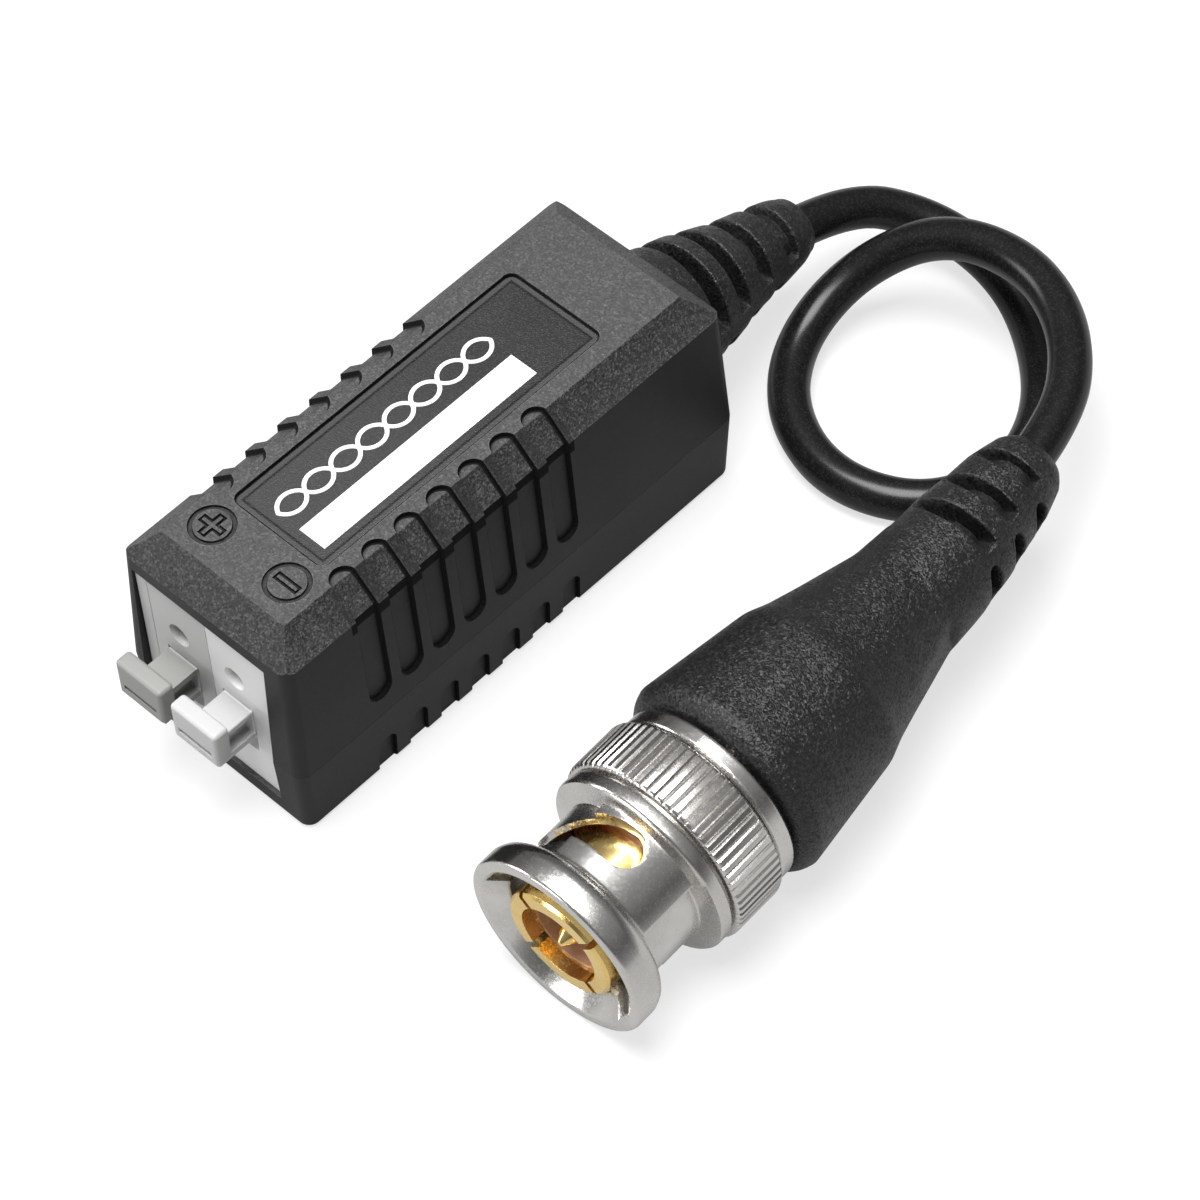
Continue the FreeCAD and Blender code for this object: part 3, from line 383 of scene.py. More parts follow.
def makeBlackShell(s, grips):
    # fine grain on the top, coarse on the slopes and softer on the ribs there, smooth on the sides
    tree, shader = newFinish("black_shell", {"IOR": 1.5, "Specular IOR Level": 0.26})
    fine = useGroup(tree, "grain", Scale=7500.0)["Height"]
    coarse = useGroup(tree, "grain", Scale=6400.0)
    patch = useGroup(tree, "mottle", Scale=140.0, Contrast=0.3)["Mask"]
    edge = useGroup(tree, "edge", Reach=0.16, Break=1400.0)["Mask"]
    openness = useGroup(tree, "crevice", Reach=0.28, Low=0.58, High=0.9)["Open"]
    place = addNode(tree, "ShaderNodeTexCoord").outputs
    point, facing = splitVector(place["Object"]), splitVector(place["Normal"])
    rib, wall = gripMasks(grips, point, facing)
    # where the skin faces up, where it slopes, and how coarse the slope is
    up = addRange(facing[2], *s["upward"])
    slope = minus(addRange(facing[2], *s["sloping"]), up)
    ground = times(slope, minus(1.0, times(rib, slope, s["ribSmooth"])))
    flat = plus(up, ground, clamp=True)
    height = plus(times(fine, times(up, s["topHeight"])), times(coarse["Height"], ground))
    height = plus(height, times(fine, minus(s["sideHeight"], times(up, s["sideHeight"]))))
    tilt = plus(times(up, s["topTilt"]), times(ground, s["slopeTilt"]), s["sideTilt"])
    # painted light and shade by facing: the top lighter, the sides darker, and the side slopes darker near
    # their upper edge than lower down
    lower = times(addRange(point[2], grips["high"] * mm, grips["low"] * mm),
                  addRange(absolute(facing[0]), *s["sideward"]))
    base = blendColour(ground, s["side"], blendColour(lower, s["slopeHigh"], s["slopeLow"]))
    base = blendColour(up, base, s["top"])
    # painted glints: pale flecks only on the top and the slopes, where the grain faces the light
    base = addFlecks(coarse["Fleck"], times(flat, s["fleckShare"]), base, s["fleck"])
    base = blendColour(times(edge, flat), base, s["rub"])
    # painted shade: the grip walls and the shadow at their foot go near black, and so does every narrow crevice
    base = blendColour(wall, base, s["paintedShade"])
    base = blendColour(openness, s["paintedShade"], base)
    rough = plus(s["roughness"], times(flat, s["grained"]), times(patch, s["patched"]))
    shut = times(minus(1.0, minus(openness, wall, clamp=True)), s["shut"])
    dress(shader, base, plus(rough, shut, clamp=True), height, s["depth"],
          useGroup(tree, "facet", Scale=6800.0, Tilt=tilt)["Normal"])


labelLook = {
    "film": grey(0.016), "sheenAndHandled": grey(0.036), "fleck": grey(0.075), "rim": grey(0.05), "paintedShade": grey(0.004),
    "rub": grey(0.14), "patchShare": 0.3, "fleckShare": 0.3, "peelHeight": 0.2, "depth": 0.02,
    "roughness": (0.30, 0.38), "fade": (-6.0, 10.0), "line": (-0.50, -0.34), "soft": 0.05,
}


def makeLabelDark(s):
    # satin film with a fine grain, a faint orange peel, paler handling patches and a painted sheen that grows
    # toward the terminals
    tree, shader = newFinish("label_dark", {"IOR": 1.48, "Specular IOR Level": 0.36})
    peel = useGroup(tree, "mottle", Scale=1500.0, Contrast=0.4)["Mask"]
    patch = useGroup(tree, "mottle", Scale=110.0, Contrast=0.25)["Mask"]
    edge = useGroup(tree, "edge", Reach=0.1, Break=2500.0)["Mask"]
    grain = useGroup(tree, "grain", Scale=8500.0)
    point = splitVector(objectPoint(tree))
    # painted sheen: the film is painted paler toward the terminals
    sheenToFront = addRange(point[1], s["fade"][1] * mm, s["fade"][0] * mm)
    base = blendColour(sheenToFront, s["film"], s["sheenAndHandled"])
    base = blendColour(times(patch, s["patchShare"]), base, s["sheenAndHandled"])
    base = addFlecks(grain["Fleck"], s["fleckShare"], base, s["fleck"])
    # a painted shade line along the border, where no groove is cut, and the paler rim outside it
    low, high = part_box("top_label")
    far = [minus(absolute(minus(point[way], (low[way] + high[way]) / 2)), (high[way] - low[way]) / 2)
           for way in (0, 1)]
    border = addMath("MAXIMUM", *far)
    past = [addRange(border, (edgeAt - s["soft"]) * mm, (edgeAt + s["soft"]) * mm) for edgeAt in s["line"]]
    base = blendColour(past[1], base, s["rim"])
    base = blendColour(minus(*past), base, s["paintedShade"])
    dress(shader, blendColour(edge, base, s["rub"]), spread(patch, *s["roughness"]),
          plus(times(peel, s["peelHeight"]), grain["Height"]), s["depth"])


printLook = {"low": grey(0.78), "high": grey(0.84), "pinhole": grey(0.5), "pinholeShare": 0.25,
             "roughness": (0.45, 0.55), "depth": 0.004}


def makePrintWhite(s):
    # screen-printed ink: nearly even, with pinholes where the mesh closed
    tree, shader = newFinish("print_white", {"IOR": 1.5})
    grain = useGroup(tree, "grain", Scale=9000.0)
    patch = useGroup(tree, "mottle", Scale=400.0, Contrast=0.3)["Mask"]
    base = addFlecks(grain["Fleck"], s["pinholeShare"], blendColour(patch, s["low"], s["high"]), s["pinhole"])
    dress(shader, base, spread(patch, *s["roughness"]), grain["Height"], s["depth"])


terminalLooks = {
    # dark and light colour, the lever's colour, roughness and how much light the plastic lets in
    "grey_terminal": ((0.42, 0.42, 0.415, 1), (0.47, 0.47, 0.465, 1), (0.25, 0.25, 0.24, 1),
                      (0.42, 0.50), 0.0),
    # painted shade: the white lever is darker than its body, to hold back the light on its top
    "white_terminal": ((0.66, 0.66, 0.655, 1), (0.71, 0.71, 0.705, 1), (0.47, 0.47, 0.47, 1),
                       (0.35, 0.43), 0.25),
}


def makeTerminalPlastic(slot, low, high, lever, roughness, glow):
    # hard plastic from a polished mould, with faint flow patches and rubbed edges; the levers are darker: the
    # grey one is moulded darker, the white one is painted shade
    tree, shader = newFinish(slot, {"IOR": 1.5, "Subsurface Weight": glow, "Subsurface Scale": mm,
                                    "Subsurface Radius": (1.0, 0.95, 0.85)})
    patch = useGroup(tree, "mottle", Scale=260.0, Contrast=0.3)["Mask"]
    edge = useGroup(tree, "edge", Reach=0.15, Break=1500.0)["Mask"]
    base = blendColour(edge, blendColour(patch, low, high), lighter(high, 1.12))
    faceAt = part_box("grey_terminal_body")[0].y - 0.1 * mm
    before = addMath("LESS_THAN", splitVector(objectPoint(tree))[1], faceAt)
    # the parts in front of the body face take the lever colour, which on the white terminal is painted shade
    dress(shader, blendColour(before, base, lever), spread(patch, *roughness),
          useGroup(tree, "grain", Scale=5200.0)["Height"], 0.008)


jacketLook = {"low": grey(0.0055), "high": grey(0.008), "dust": grey(0.08), "dustShare": 0.12,
              "roughness": (0.24, 0.28), "grainHeight": 0.25, "depth": 0.0025}


def makeCableJacket(s):
    # extruded jacket: near-smooth, with a soft waver and a little dust
    tree, shader = newFinish("cable_jacket", {"IOR": 1.5, "Specular IOR Level": 0.28})
    waver = useGroup(tree, "mottle", Scale=380.0, Contrast=0.35)["Mask"]
    grain = useGroup(tree, "grain", Scale=7000.0)
    base = addFlecks(grain["Fleck"], s["dustShare"], blendColour(waver, s["low"], s["high"]), s["dust"])
    dress(shader, base, spread(waver, *s["roughness"]), plus(times(grain["Height"], s["grainHeight"]), waver),
          s["depth"])


bootLook = {"low": grey(0.006), "high": grey(0.0085), "fleck": grey(0.045), "fleckShare": (0.25, 0.6),
            "rub": grey(0.05), "slot": grey(0.001), "slotDull": 0.5, "roughness": (0.42, 0.36), "depth": 0.05}


def makeBootRubber(s):
    # soft vinyl from an etched mould: sparkling grain that thins out in patches, and painted shade that makes
    # its slots black
    tree, shader = newFinish("boot_rubber", {"IOR": 1.5, "Specular IOR Level": 0.4})
    grain = useGroup(tree, "grain", Scale=7000.0)
    patch = useGroup(tree, "mottle", Scale=170.0, Contrast=0.22)["Mask"]
    edge = useGroup(tree, "edge", Reach=0.22, Break=1200.0)["Mask"]
    openness = useGroup(tree, "crevice", Reach=1.3, Low=0.5, High=0.88)["Open"]
    base = blendColour(patch, s["low"], s["high"])
    base = addFlecks(grain["Fleck"], spread(patch, *s["fleckShare"]), base, s["fleck"])
    # painted shade: near black deep in the slots
    base = blendColour(openness, s["slot"], blendColour(edge, base, s["rub"]))
    rough = plus(spread(patch, *s["roughness"]), times(minus(1.0, openness), s["slotDull"]), clamp=True)
    dress(shader, base, rough, grain["Height"], s["depth"],
          useGroup(tree, "facet", Scale=6400.0, Tilt=0.52)["Normal"])


plateLooks = {
    # dark and light colour, roughness, tool lines to the metre and depth of the relief
    "nickel": ((0.61, 0.595, 0.57, 1), (0.72, 0.705, 0.68, 1), (0.26, 0.18), 9000.0, 0.001),
    "gold": ((0.86, 0.60, 0.20, 1), (0.95, 0.72, 0.30, 1), (0.26, 0.18), 12000.0, 0.001),
}


def makePlate(slot, low, high, roughness, lines, depth):
    # bright plate on turned brass: tool lines round the axis, cloudy thin patches, duller in the streaks
    tree, shader = newFinish(slot, {"Metallic": 1.0})
    lathe = useGroup(tree, "lathe", Lines=lines)
    grain = useGroup(tree, "grain", Scale=6000.0)
    rough = plus(spread(lathe["Streak"], *roughness), times(grain["Fleck"], 0.06))
    dress(shader, blendColour(lathe["Streak"], low, high), rough,
          plus(lathe["Height"], times(grain["Height"], 0.15)), depth)


metalLooks = {
    # dark and light colour, roughness, scales of the grain and the patches, depth of the relief, coat
    "spring_steel": ((0.50, 0.49, 0.47, 1), (0.62, 0.61, 0.58, 1), (0.25, 0.40), 5000.0, 500.0, 0.006, {}),
    "tinned_copper": ((0.62, 0.60, 0.57, 1), (0.74, 0.72, 0.69, 1), (0.28, 0.43), 5000.0, 500.0, 0.006, {}),
    "magnet_wire": ((0.45, 0.13, 0.05, 1), (0.62, 0.24, 0.10, 1), (0.30, 0.45), 3500.0, 700.0, 0.01,
                    {"Coat Weight": 0.6, "Coat Roughness": 0.15}),
}


def makeRolledMetal(slot, low, high, roughness, grainScale, patchScale, depth, coat):
    # strip or drawn wire, bare or enamelled: bright, with mill grain and cloudy handling
    tree, shader = newFinish(slot, {"Metallic": 1.0, **coat})
    patch = useGroup(tree, "mottle", Scale=patchScale, Contrast=0.3)["Mask"]
    dress(shader, blendColour(patch, low, high), spread(patch, *roughness),
          useGroup(tree, "grain", Scale=grainScale)["Height"], depth)


mouldedLooks = {
    # dark and light colour, roughness, scale of the grain and depth of the relief
    "board_green": ((0.010, 0.085, 0.030, 1), (0.014, 0.11, 0.04, 1), (0.28, 0.36), 2500.0, 0.01),
    "ferrite": (grey(0.035), grey(0.05), (0.6, 0.68), 5000.0, 0.02),
    "component_black": (grey(0.02), grey(0.028), (0.5, 0.58), 5500.0, 0.02),
    "capacitor_body": ((0.50, 0.20, 0.03, 1), (0.60, 0.26, 0.05, 1), (0.3, 0.38), 2500.0, 0.02),
    "dielectric": ((0.70, 0.69, 0.65, 1), (0.78, 0.77, 0.73, 1), (0.4, 0.48), 4000.0, 0.01),
    "insulator_brown": ((0.42, 0.22, 0.13, 1), (0.50, 0.28, 0.18, 1), (0.35, 0.43), 3500.0, 0.01),
    "gasket_rubber": ((0.17, 0.035, 0.02, 1), (0.22, 0.05, 0.03, 1), (0.5, 0.58), 4500.0, 0.02),
}


def makeMoulded(slot, low, high, roughness, scale, depth):
    # plain moulded or sintered body
    tree, shader = newFinish(slot, {"IOR": 1.5})
    grain = useGroup(tree, "grain", Scale=scale)
    patch = useGroup(tree, "mottle", Scale=300.0, Contrast=0.3)["Mask"]
    base = addFlecks(grain["Fleck"], 0.3, blendColour(patch, low, high), lighter(high, 1.4))
    dress(shader, base, spread(patch, *roughness), grain["Height"], depth)


resistorLook = {
    "end": (0.6, 0.6, 0.58, 1), "lacquer": (0.42, 0.30, 0.16, 1),
    "rings": [(0.26, 0.33, (0.25, 0.08, 0.02, 1)), (0.42, 0.49, (0.02, 0.02, 0.02, 1)),
              (0.58, 0.65, (0.5, 0.03, 0.02, 1)), (0.74, 0.80, (0.5, 0.35, 0.1, 1))],
    "ends": (0.14, 0.86),
}


def makeResistorBody(s):
    # lacquered body with four coloured rings, and bare ends
    tree, shader = newFinish("resistor_body", {"IOR": 1.5, "Coat Weight": 0.5})
    low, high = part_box("resistor")
    share = addRange(splitVector(objectPoint(tree))[1], low.y, high.y)
    stops = [(0.0, s["end"]), (s["ends"][0], s["lacquer"])]
    for start, end, colour in s["rings"]:
        stops += [(start, colour), (end, s["lacquer"])]
    rings = addRamp(share, stops + [(s["ends"][1], s["end"])], "CONSTANT")
    grain = useGroup(tree, "grain", Scale=5000.0)
    dress(shader, addFlecks(grain["Fleck"], 0.1, rings, grey(0.6)), 0.3, grain["Height"], 0.01)


makeBlackShell(shellLook, gripRows)
makeLabelDark(labelLook)
makePrintWhite(printLook)
makeCableJacket(jacketLook)
makeBootRubber(bootLook)
makeResistorBody(resistorLook)
for maker, looks in ((makeTerminalPlastic, terminalLooks), (makePlate, plateLooks),
                     (makeRolledMetal, metalLooks), (makeMoulded, mouldedLooks)):
    for slot, look in looks.items():
        maker(slot, *look)
slotOf = {row["node"]: row["material_slot"] for row in frame["record"]["subparts"]}
for name, piece in nodes.items():
    paint(piece, slotOf[name])
print("materials made:", len(finishes))


# shapes

def finishPiece(piece, body, slot, replaced):
    # every new piece gets its finish, its body and the solid that it stands for
    paint(piece, slot)
    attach(piece, body)
    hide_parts(*replaced)
    return piece


def newPiece(name, points, faces):
    mesh = bpy.data.meshes.new(name)
    mesh.from_pydata([tuple(p) for p in points], [], faces)
    mesh.update()
    piece = bpy.data.objects.new(name, mesh)
    bpy.context.scene.collection.objects.link(piece)
    return piece


def smoothShade(piece, sharpAngle):
    piece.data.shade_smooth()
    piece.data.set_sharp_from_angle(angle=math.radians(sharpAngle))


def addBevel(piece, name, width, segments, sharpAngle):
    soften = piece.modifiers.new(name, "BEVEL")
    soften.width = width * mm
    soften.segments = segments
    soften.limit_method = "ANGLE"
    soften.angle_limit = math.radians(sharpAngle)
    return soften


def applyModifiers(piece):
    shaped = bpy.data.meshes.new_from_object(piece.evaluated_get(bpy.context.evaluated_depsgraph_get()))
    piece.modifiers.clear()
    piece.data = shaped


def cleaned(piece, weld):
    # welds doubles, drops faces with no area and turns the skin outward
    form = bmesh.new()
    form.from_mesh(piece.data)
    bmesh.ops.remove_doubles(form, verts=form.verts, dist=weld * mm)
    bmesh.ops.dissolve_degenerate(form, dist=weld * mm / 4, edges=form.edges)
    bmesh.ops.recalc_face_normals(form, faces=form.faces)
    form.to_mesh(piece.data)
    form.free()
    return piece


def evenAngles(count):
    return [360 * k / count for k in range(count)]


def ringPiece(name, *skins, weld=0.002):
    # each skin is rings of points that come back to the first ring, as round a bore
    points, faces = [], []
    for rings in skins:
        start, count = len(points), len(rings[0])
        for i, ring in enumerate(rings):
            points.extend(ring)
            here, there = start + i * count, start + (i + 1) % len(rings) * count
            faces += [(here + k, here + (k + 1) % count, there + (k + 1) % count, there + k)
                      for k in range(count)]
    return cleaned(newPiece(name, points, faces), weld)


def between(points, place):
    # straight interpolation in (place, value) pairs
    if place <= points[0][0]:
        return points[0][1]
    for (a, low), (b, high) in zip(points, points[1:]):
        if place <= b:
            return low + (high - low) * (place - a) / (b - a) if b > a else high
    return points[-1][1]


def softBetween(points, place, blur):
    # the same with its corners rounded over the blur
    shares = (-1.0, -0.6, -0.2, 0.2, 0.6, 1.0)
    return sum(between(points, place + blur * share) for share in shares) / len(shares)


def softMin(a, b, blend):
    # the smaller of two values, with a rounded corner where they meet
    over = max(blend - abs(a - b), 0) / blend
    return min(a, b) - over * over * blend / 4


def slotDistance(along, arc, halfWidth, halfArc, corner, point):
    # how far a spot is from a slot that narrows to one end and has round corners, negative inside it
    halfWidth = max(halfWidth * (1 - point * min(max(arc / halfArc, 0), 1) ** 2), corner)
    dx = abs(along) - halfWidth + corner
    dy = abs(arc) - halfArc + corner
    return math.hypot(max(dx, 0), max(dy, 0)) + min(max(dx, dy), 0) - corner


def cutRadius(full, core, distance, rim, wall):
    # a rounded rim beside the slot, then a steep wall down to the core
    if distance >= rim or full <= core:
        return full
    rim = min(rim, full - core)
    if distance >= 0:
        return full - (rim - math.sqrt(max(0, rim ** 2 - (rim - distance) ** 2)))
    share = min(-distance / wall, 1)
    return full - rim - (full - rim - core) * share * share * (3 - 2 * share)


def ribbedRadius(s, place, angle):
    # the relief's radius at this spot, with its slots cut in
    full = softBetween(s["profile"], place, s["blur"])
    radius = full
    for middle, toward, span in s["slots"]:
        if abs(place - middle) > s["slotWidth"]:
            continue
        off = (angle - toward + 180) % 360 - 180
        far = slotDistance(place - middle, math.radians(off) * full, s["slotWidth"] / 2,
                           math.radians(span / 2) * full, s["corner"], s["point"])
        radius = min(radius, cutRadius(full, s["core"], far, s["rim"], s["wall"]))
    return radius


def ringPlaces(s, low, high):
    # places along a relief: coarse steps, with fine ones about each slot
    def steps(start, span, step):
        count = round(span / step)
        return {round(start + span * i / count, 4) for i in range(count + 1)}

    spots = steps(low, high - low, s["coarse"])
    for middle, *_ in s["slots"]:
        spots |= steps(middle - s["fineReach"], 2 * s["fineReach"], s["fine"])
    return sorted(p for p in spots if low <= p <= high)


# cable

cable = {
    "diameter": 3.0,
    "length": 140.0,
    "exit": (0, 20.3, 9.0),
    "route": [
        (0, 14.0, 9.0), (0, 20.3, 9.0), (0, 39.1, 5.9), (5.1, 44.3, 3.1), (12.5, 44.3, 1.5), (20.1, 38.7, 1.5),
        (23.0, 32.0, 1.5), (20.7, 25.6, 1.5), (14.4, 22.9, 1.5), (8.0, 25.1, 1.5), (4.1, 30.4, 1.7),
        (4.4, 36.5, 4.3), (8.7, 40.7, 7.8), (15.85, 41.6, 8.9), (22.3, 38.25, 9.3), (26.5, 31.97, 9.18),
        (27.886, 17.689, 8.561), (28.173, 8.302, 8.157),
    ],
}


def makeCable(s):
    curve = bpy.data.curves.new("coaxJacket", "CURVE")
    curve.dimensions = "3D"
    spline = curve.splines.new("NURBS")
    spline.points.add(len(s["route"]) - 1)
    for spot, place in zip(spline.points, s["route"]):
        spot.co = (*(c * mm for c in place), 1)
    spline.order_u = 3
    spline.use_endpoint_u = True
    spline.resolution_u = 16
    curve.bevel_depth = s["diameter"] / 2 * mm
    curve.bevel_resolution = 7
    curve.use_fill_caps = True
    piece = bpy.data.objects.new("coaxJacket", curve)
    bpy.context.scene.collection.objects.link(piece)
    return finishPiece(piece, housing, "cable_jacket", ["coax_cable"])


coaxJacket = makeCable(cable)
print("cable laid")


# strain relief of the housing

relief = {
    "profile": [(-2.0, 5.1), (0.0, 5.1), (4.5, 4.4), (8.5, 3.4), (11.5, 2.95), (13.6, 2.55), (14.5, 2.15)],
    "start": -1.5, "length": 14.5, "blur": 0.35, "lip": 0.05,
    # place along the relief, middle angle and span of each slot
    "slots": [(s, 90, 158.0) for s in (2.7, 5.4, 8.4, 11.6)] + [(s, -90, 158.0) for s in (4.1, 6.9, 10.0)],
    "slotWidth": 1.3, "core": 2.15, "rim": 0.18, "wall": 0.07, "corner": 0.3, "point": 0.2,
    "bore": 1.52, "segments": 144, "coarse": 0.3, "fine": 0.065, "fineReach": 1.0, "sharpAngle": 50,
    "coverLean": 2.4, "caseLean": 2.9, "parting": 6.0, "wallOverlap": 0.02, "wallTries": 4,
    "neck": 3.5, "flange": 4.6, "flangeThickness": 1.5, "sideWall": 1.3, "play": 0.35,
}


def makeHousingRelief(s, route):
    exitPoint = Vector(route[1]) * mm
    along = (Vector(route[2]) - Vector(route[1])).normalized()
    side = Vector((1, 0, 0))
    up = side.cross(along)

    def spot(place, angle, radius):
        turn = math.radians(angle)
        return exitPoint + (along * place + side * radius * math.cos(turn) + up * radius * math.sin(turn)) * mm

    def onWall(angle, radius):
        # the place where this line of the skin meets the sloping rear wall
        place = 0.0
        for _ in range(s["wallTries"]):
            point = spot(place, angle, radius) / mm
            lean = math.tan(math.radians(s["coverLean"] if point.z > s["parting"] else s["caseLean"]))
            wall = exitPoint.y / mm - abs(point.z - s["parting"]) * lean - s["wallOverlap"]
            place += (wall - point.y) / along.y
        return place

    angles = evenAngles(s["segments"])
    starts = [onWall(a, s["profile"][0][1]) for a in angles]
    rings = []
    for place in ringPlaces(s, s["start"], s["length"]):
        held = [max(place, start) for start in starts]
        rings.append([spot(h, a, ribbedRadius(s, h, a)) for h, a in zip(held, angles)])
    rings.append([spot(s["length"] + s["lip"], a, (s["core"] + s["bore"]) / 2) for a in angles])
    rings.append([spot(s["length"], a, s["bore"]) for a in angles])
    rings.append([spot(start, a, s["bore"]) for start, a in zip(starts, angles)])
    # the neck in the wall and the flange behind it
    outer = exitPoint.y / mm
    inner = outer - s["sideWall"] - s["play"]
    last = inner - s["flangeThickness"]
    steps = [(outer, s["bore"]), (outer, s["neck"]), (inner, s["neck"]), (inner, s["flange"]),
             (last, s["flange"]), (last, s["bore"])]
    neck = [[Vector((r * math.cos(math.radians(a)), y, route[1][2] + r * math.sin(math.radians(a)))) * mm
             for a in angles] for y, r in steps]
    piece = ringPiece("housingRelief", rings, neck)
    smoothShade(piece, s["sharpAngle"])
    return finishPiece(piece, housing, "boot_rubber", ["housing_strain_relief"])


housingRelief = makeHousingRelief(relief, cable["route"])
print("housing relief moulded")


# boot of the plug

boot = {
    "front": 15.1, "reliefStart": 21.4, "reliefLength": 10.9,
    "body": [(0.0, 6.8), (0.07, 6.95), (0.2, 7.12), (0.4, 7.32), (0.65, 7.49), (0.9, 7.6), (1.1, 7.65),
             (1.2, 7.69), (1.35, 7.68), (9.5, 6.65), (11.0, 6.1),
             (13.3, 5.5), (18.0, 4.4), (18.5, 4.35), (21.8, 4.2)],
    "relief": [(-0.4, 4.2), (0.8, 4.05), (3.3, 3.9), (5.8, 3.5), (7.8, 3.3), (9.4, 2.9), (10.5, 2.6),
               (10.9, 2.1)],
    "slots": [(s, a, 100.0) for s in (2.2, 5.1, 8.1) for a in (90, -90)]
             + [(s, a, 50.0) for s in (1.5, 4.5, 7.4) for a in (0, 180)],
    "flat": [(10.2, 7.75), (11.0, 6.1), (18.5, 3.95), (18.9, 4.6), (19.2, 7.75)],
    # up to crispTo the body's own points are kept sharp
    "flatBlend": 0.18, "blur": 0.3, "crispTo": 1.6, "lip": 0.05, "sharpAngle": 50,
    "slotWidth": 1.32, "core": 2.15, "rim": 0.15, "wall": 0.07, "corner": 0.25, "point": 0.62,
    "neck": 4.2, "neckDepth": 4.0, "neckChamfer": 0.1, "bore": 1.52,
    "segments": 144, "coarse": 0.35, "fine": 0.06, "fineReach": 0.95,
}


def makePlugBoot(s, route):
    bendPoint = plugRim + plugBack * (s["front"] + s["reliefStart"]) * mm
    tailAway = (Vector(route[-3]) - Vector(route[-2])).normalized()
    whole = dict(s, profile=s["body"][:-1] + [(p + s["reliefStart"], r) for p, r in s["relief"]],
                 slots=[(p + s["reliefStart"], a, span) for p, a, span in s["slots"]])

    def spot(place, angle, radius, pressed=True):
        # places count from the boot's front face, and the last stretch follows the cable's first run
        away, origin, run = plugBack, plugRim + plugBack * s["front"] * mm, place
        if place > s["reliefStart"]:
            away, origin, run = tailAway, bendPoint, place - s["reliefStart"]
        side = away.cross(plugUp).normalized()
        up = side.cross(away)
        turn = math.radians(angle)
        across = radius * math.cos(turn)
        if pressed:
            across = math.copysign(softMin(abs(across), between(s["flat"], place), s["flatBlend"]), across)
        return origin + (away * run + side * across + up * radius * math.sin(turn)) * mm

    def skin(place, angle):
        if place <= s["crispTo"]:
            return between(s["body"], place)
        return ribbedRadius(whole, place, angle)

    angles = evenAngles(s["segments"])
    total = s["reliefStart"] + s["reliefLength"]
    places = [p for p, r in s["body"] if p < s["crispTo"]] + ringPlaces(whole, s["crispTo"], total)
    rings = [[spot(0, a, s["neck"], False) for a in angles]]
    rings += [[spot(p, a, skin(p, a)) for a in angles] for p in places]
    inside = [(total + s["lip"], (s["core"] + s["bore"]) / 2), (total, s["bore"]),
              (s["reliefStart"], s["bore"]), (s["neckDepth"] + s["neckChamfer"], s["bore"]),
              (s["neckDepth"], s["neck"])]
    rings += [[spot(p, a, r, False) for a in angles] for p, r in inside]
    piece = ringPiece("plugBoot", rings)
    smoothShade(piece, s["sharpAngle"])
    return finishPiece(piece, housing, "boot_rubber", ["plug_boot"])


plugBoot = makePlugBoot(boot, cable["route"])
print("plug boot moulded")


# bayonet sleeve

sleeve = {
    # place, radius, and the radius in the two zones that are turned thin for the studs' channels
    "outer": [(0.0, 6.3), (0.0, 6.78), (0.04, 6.87), (0.13, 6.95), (0.28, 7.0), (1.45, 7.0), (1.62, 6.985),
              (1.9, 6.89), (2.2, 6.75), (2.4, 6.55), (2.55, 6.35), (2.6, 6.27), (2.64, 6.2, 5.5),
              (2.72, 6.08, 5.42), (2.85, 6.01, 5.4), (3.0, 6.0, 5.4)],
    "barrel": (3.0, 7.2, 24),
    "ring": [(7.25, 6.0, 5.4), (7.34, 6.03, 5.44), (7.42, 6.2, 5.7), (7.55, 6.6, 6.35), (7.68, 6.85),
             (7.82, 6.94), (7.95, 6.95), (8.45, 6.95), (8.58, 6.92), (8.65, 6.84), (8.68, 6.6), (8.74, 6.42),
             (8.85, 6.4), (9.3, 6.4)],
    "inner": [(9.3, 4.97), (6.0, 4.95), (1.45, 4.95), (1.3, 4.99), (1.15, 5.1), (0.1, 6.1), (0.03, 6.18),
              (0.0, 6.24)],
    "barrelRadius": 6.0, "thinRadius": 5.4, "thinMiddle": 161.0, "thinHalf": 51.0, "thinStep": 0.9,
    "segments": 180, "weld": 0.0005, "cutterWeld": 0.0001, "cutWeld": 0.003,
    "channelAngle": 152.0, "channelStart": -1.0, "channelEnd": 4.25, "channelWidth": 2.2,
    "channelFloor": 2.0, "channelRadius": 5.95,
    "detentAngle": 79.0, "detentPlace": 5.7, "detentRadius": 1.43, "detentFrom": 3, "detentSteps": 14,
    # the stud's window: angle, front edge and rear edge
    "window": [(79.0, 4.27, 7.13), (85.0, 4.32, 7.13), (94.0, 4.38, 7.02), (107.0, 4.38, 6.6),
               (119.0, 4.15, 6.1), (127.0, 3.75, 5.6), (140.0, 2.95, 4.9), (152.0, 2.5, 4.35),
               (162.5, 2.5, 4.1)],
    "windowBlur": 5.0, "windowSteps": 44, "windowReach": (3.5, 8.5),
    "cutEdge": 0.08, "cutSegments": 2, "cutAngle": 48, "sharpAngle": 32,
    # place, radius and how deep the teeth are there
    "knurl": [(8.9, 6.3, 0.0), (8.95, 6.9, 0.0), (9.0, 7.05, 0.1), (9.12, 7.19, 0.6), (9.3, 7.25, 1.0),
              (12.85, 7.25, 1.0), (13.03, 7.19, 0.6), (13.15, 7.05, 0.1), (13.2, 6.9, 0.0), (13.22, 6.2, 0.0),
              (13.35, 6.1, 0.0)],
    "knurlBore": [(13.35, 4.3), (10.2, 4.3), (10.2, 4.95), (8.9, 4.95)],
    "teeth": 72, "toothDepth": 0.2, "toothShares": (0.0, 0.0, 0.0, 0.0, 0.0, 0.45, 1.0, 0.45),
    "toothSpread": (0.75, 1.0), "toothSeed": 5,
}


def plugSpot(place, angle, radius):
    turn = math.radians(angle)
    side, up = plugSide * radius * math.cos(turn), plugUp * radius * math.sin(turn)
    return plugRim + (plugBack * place + side + up) * mm


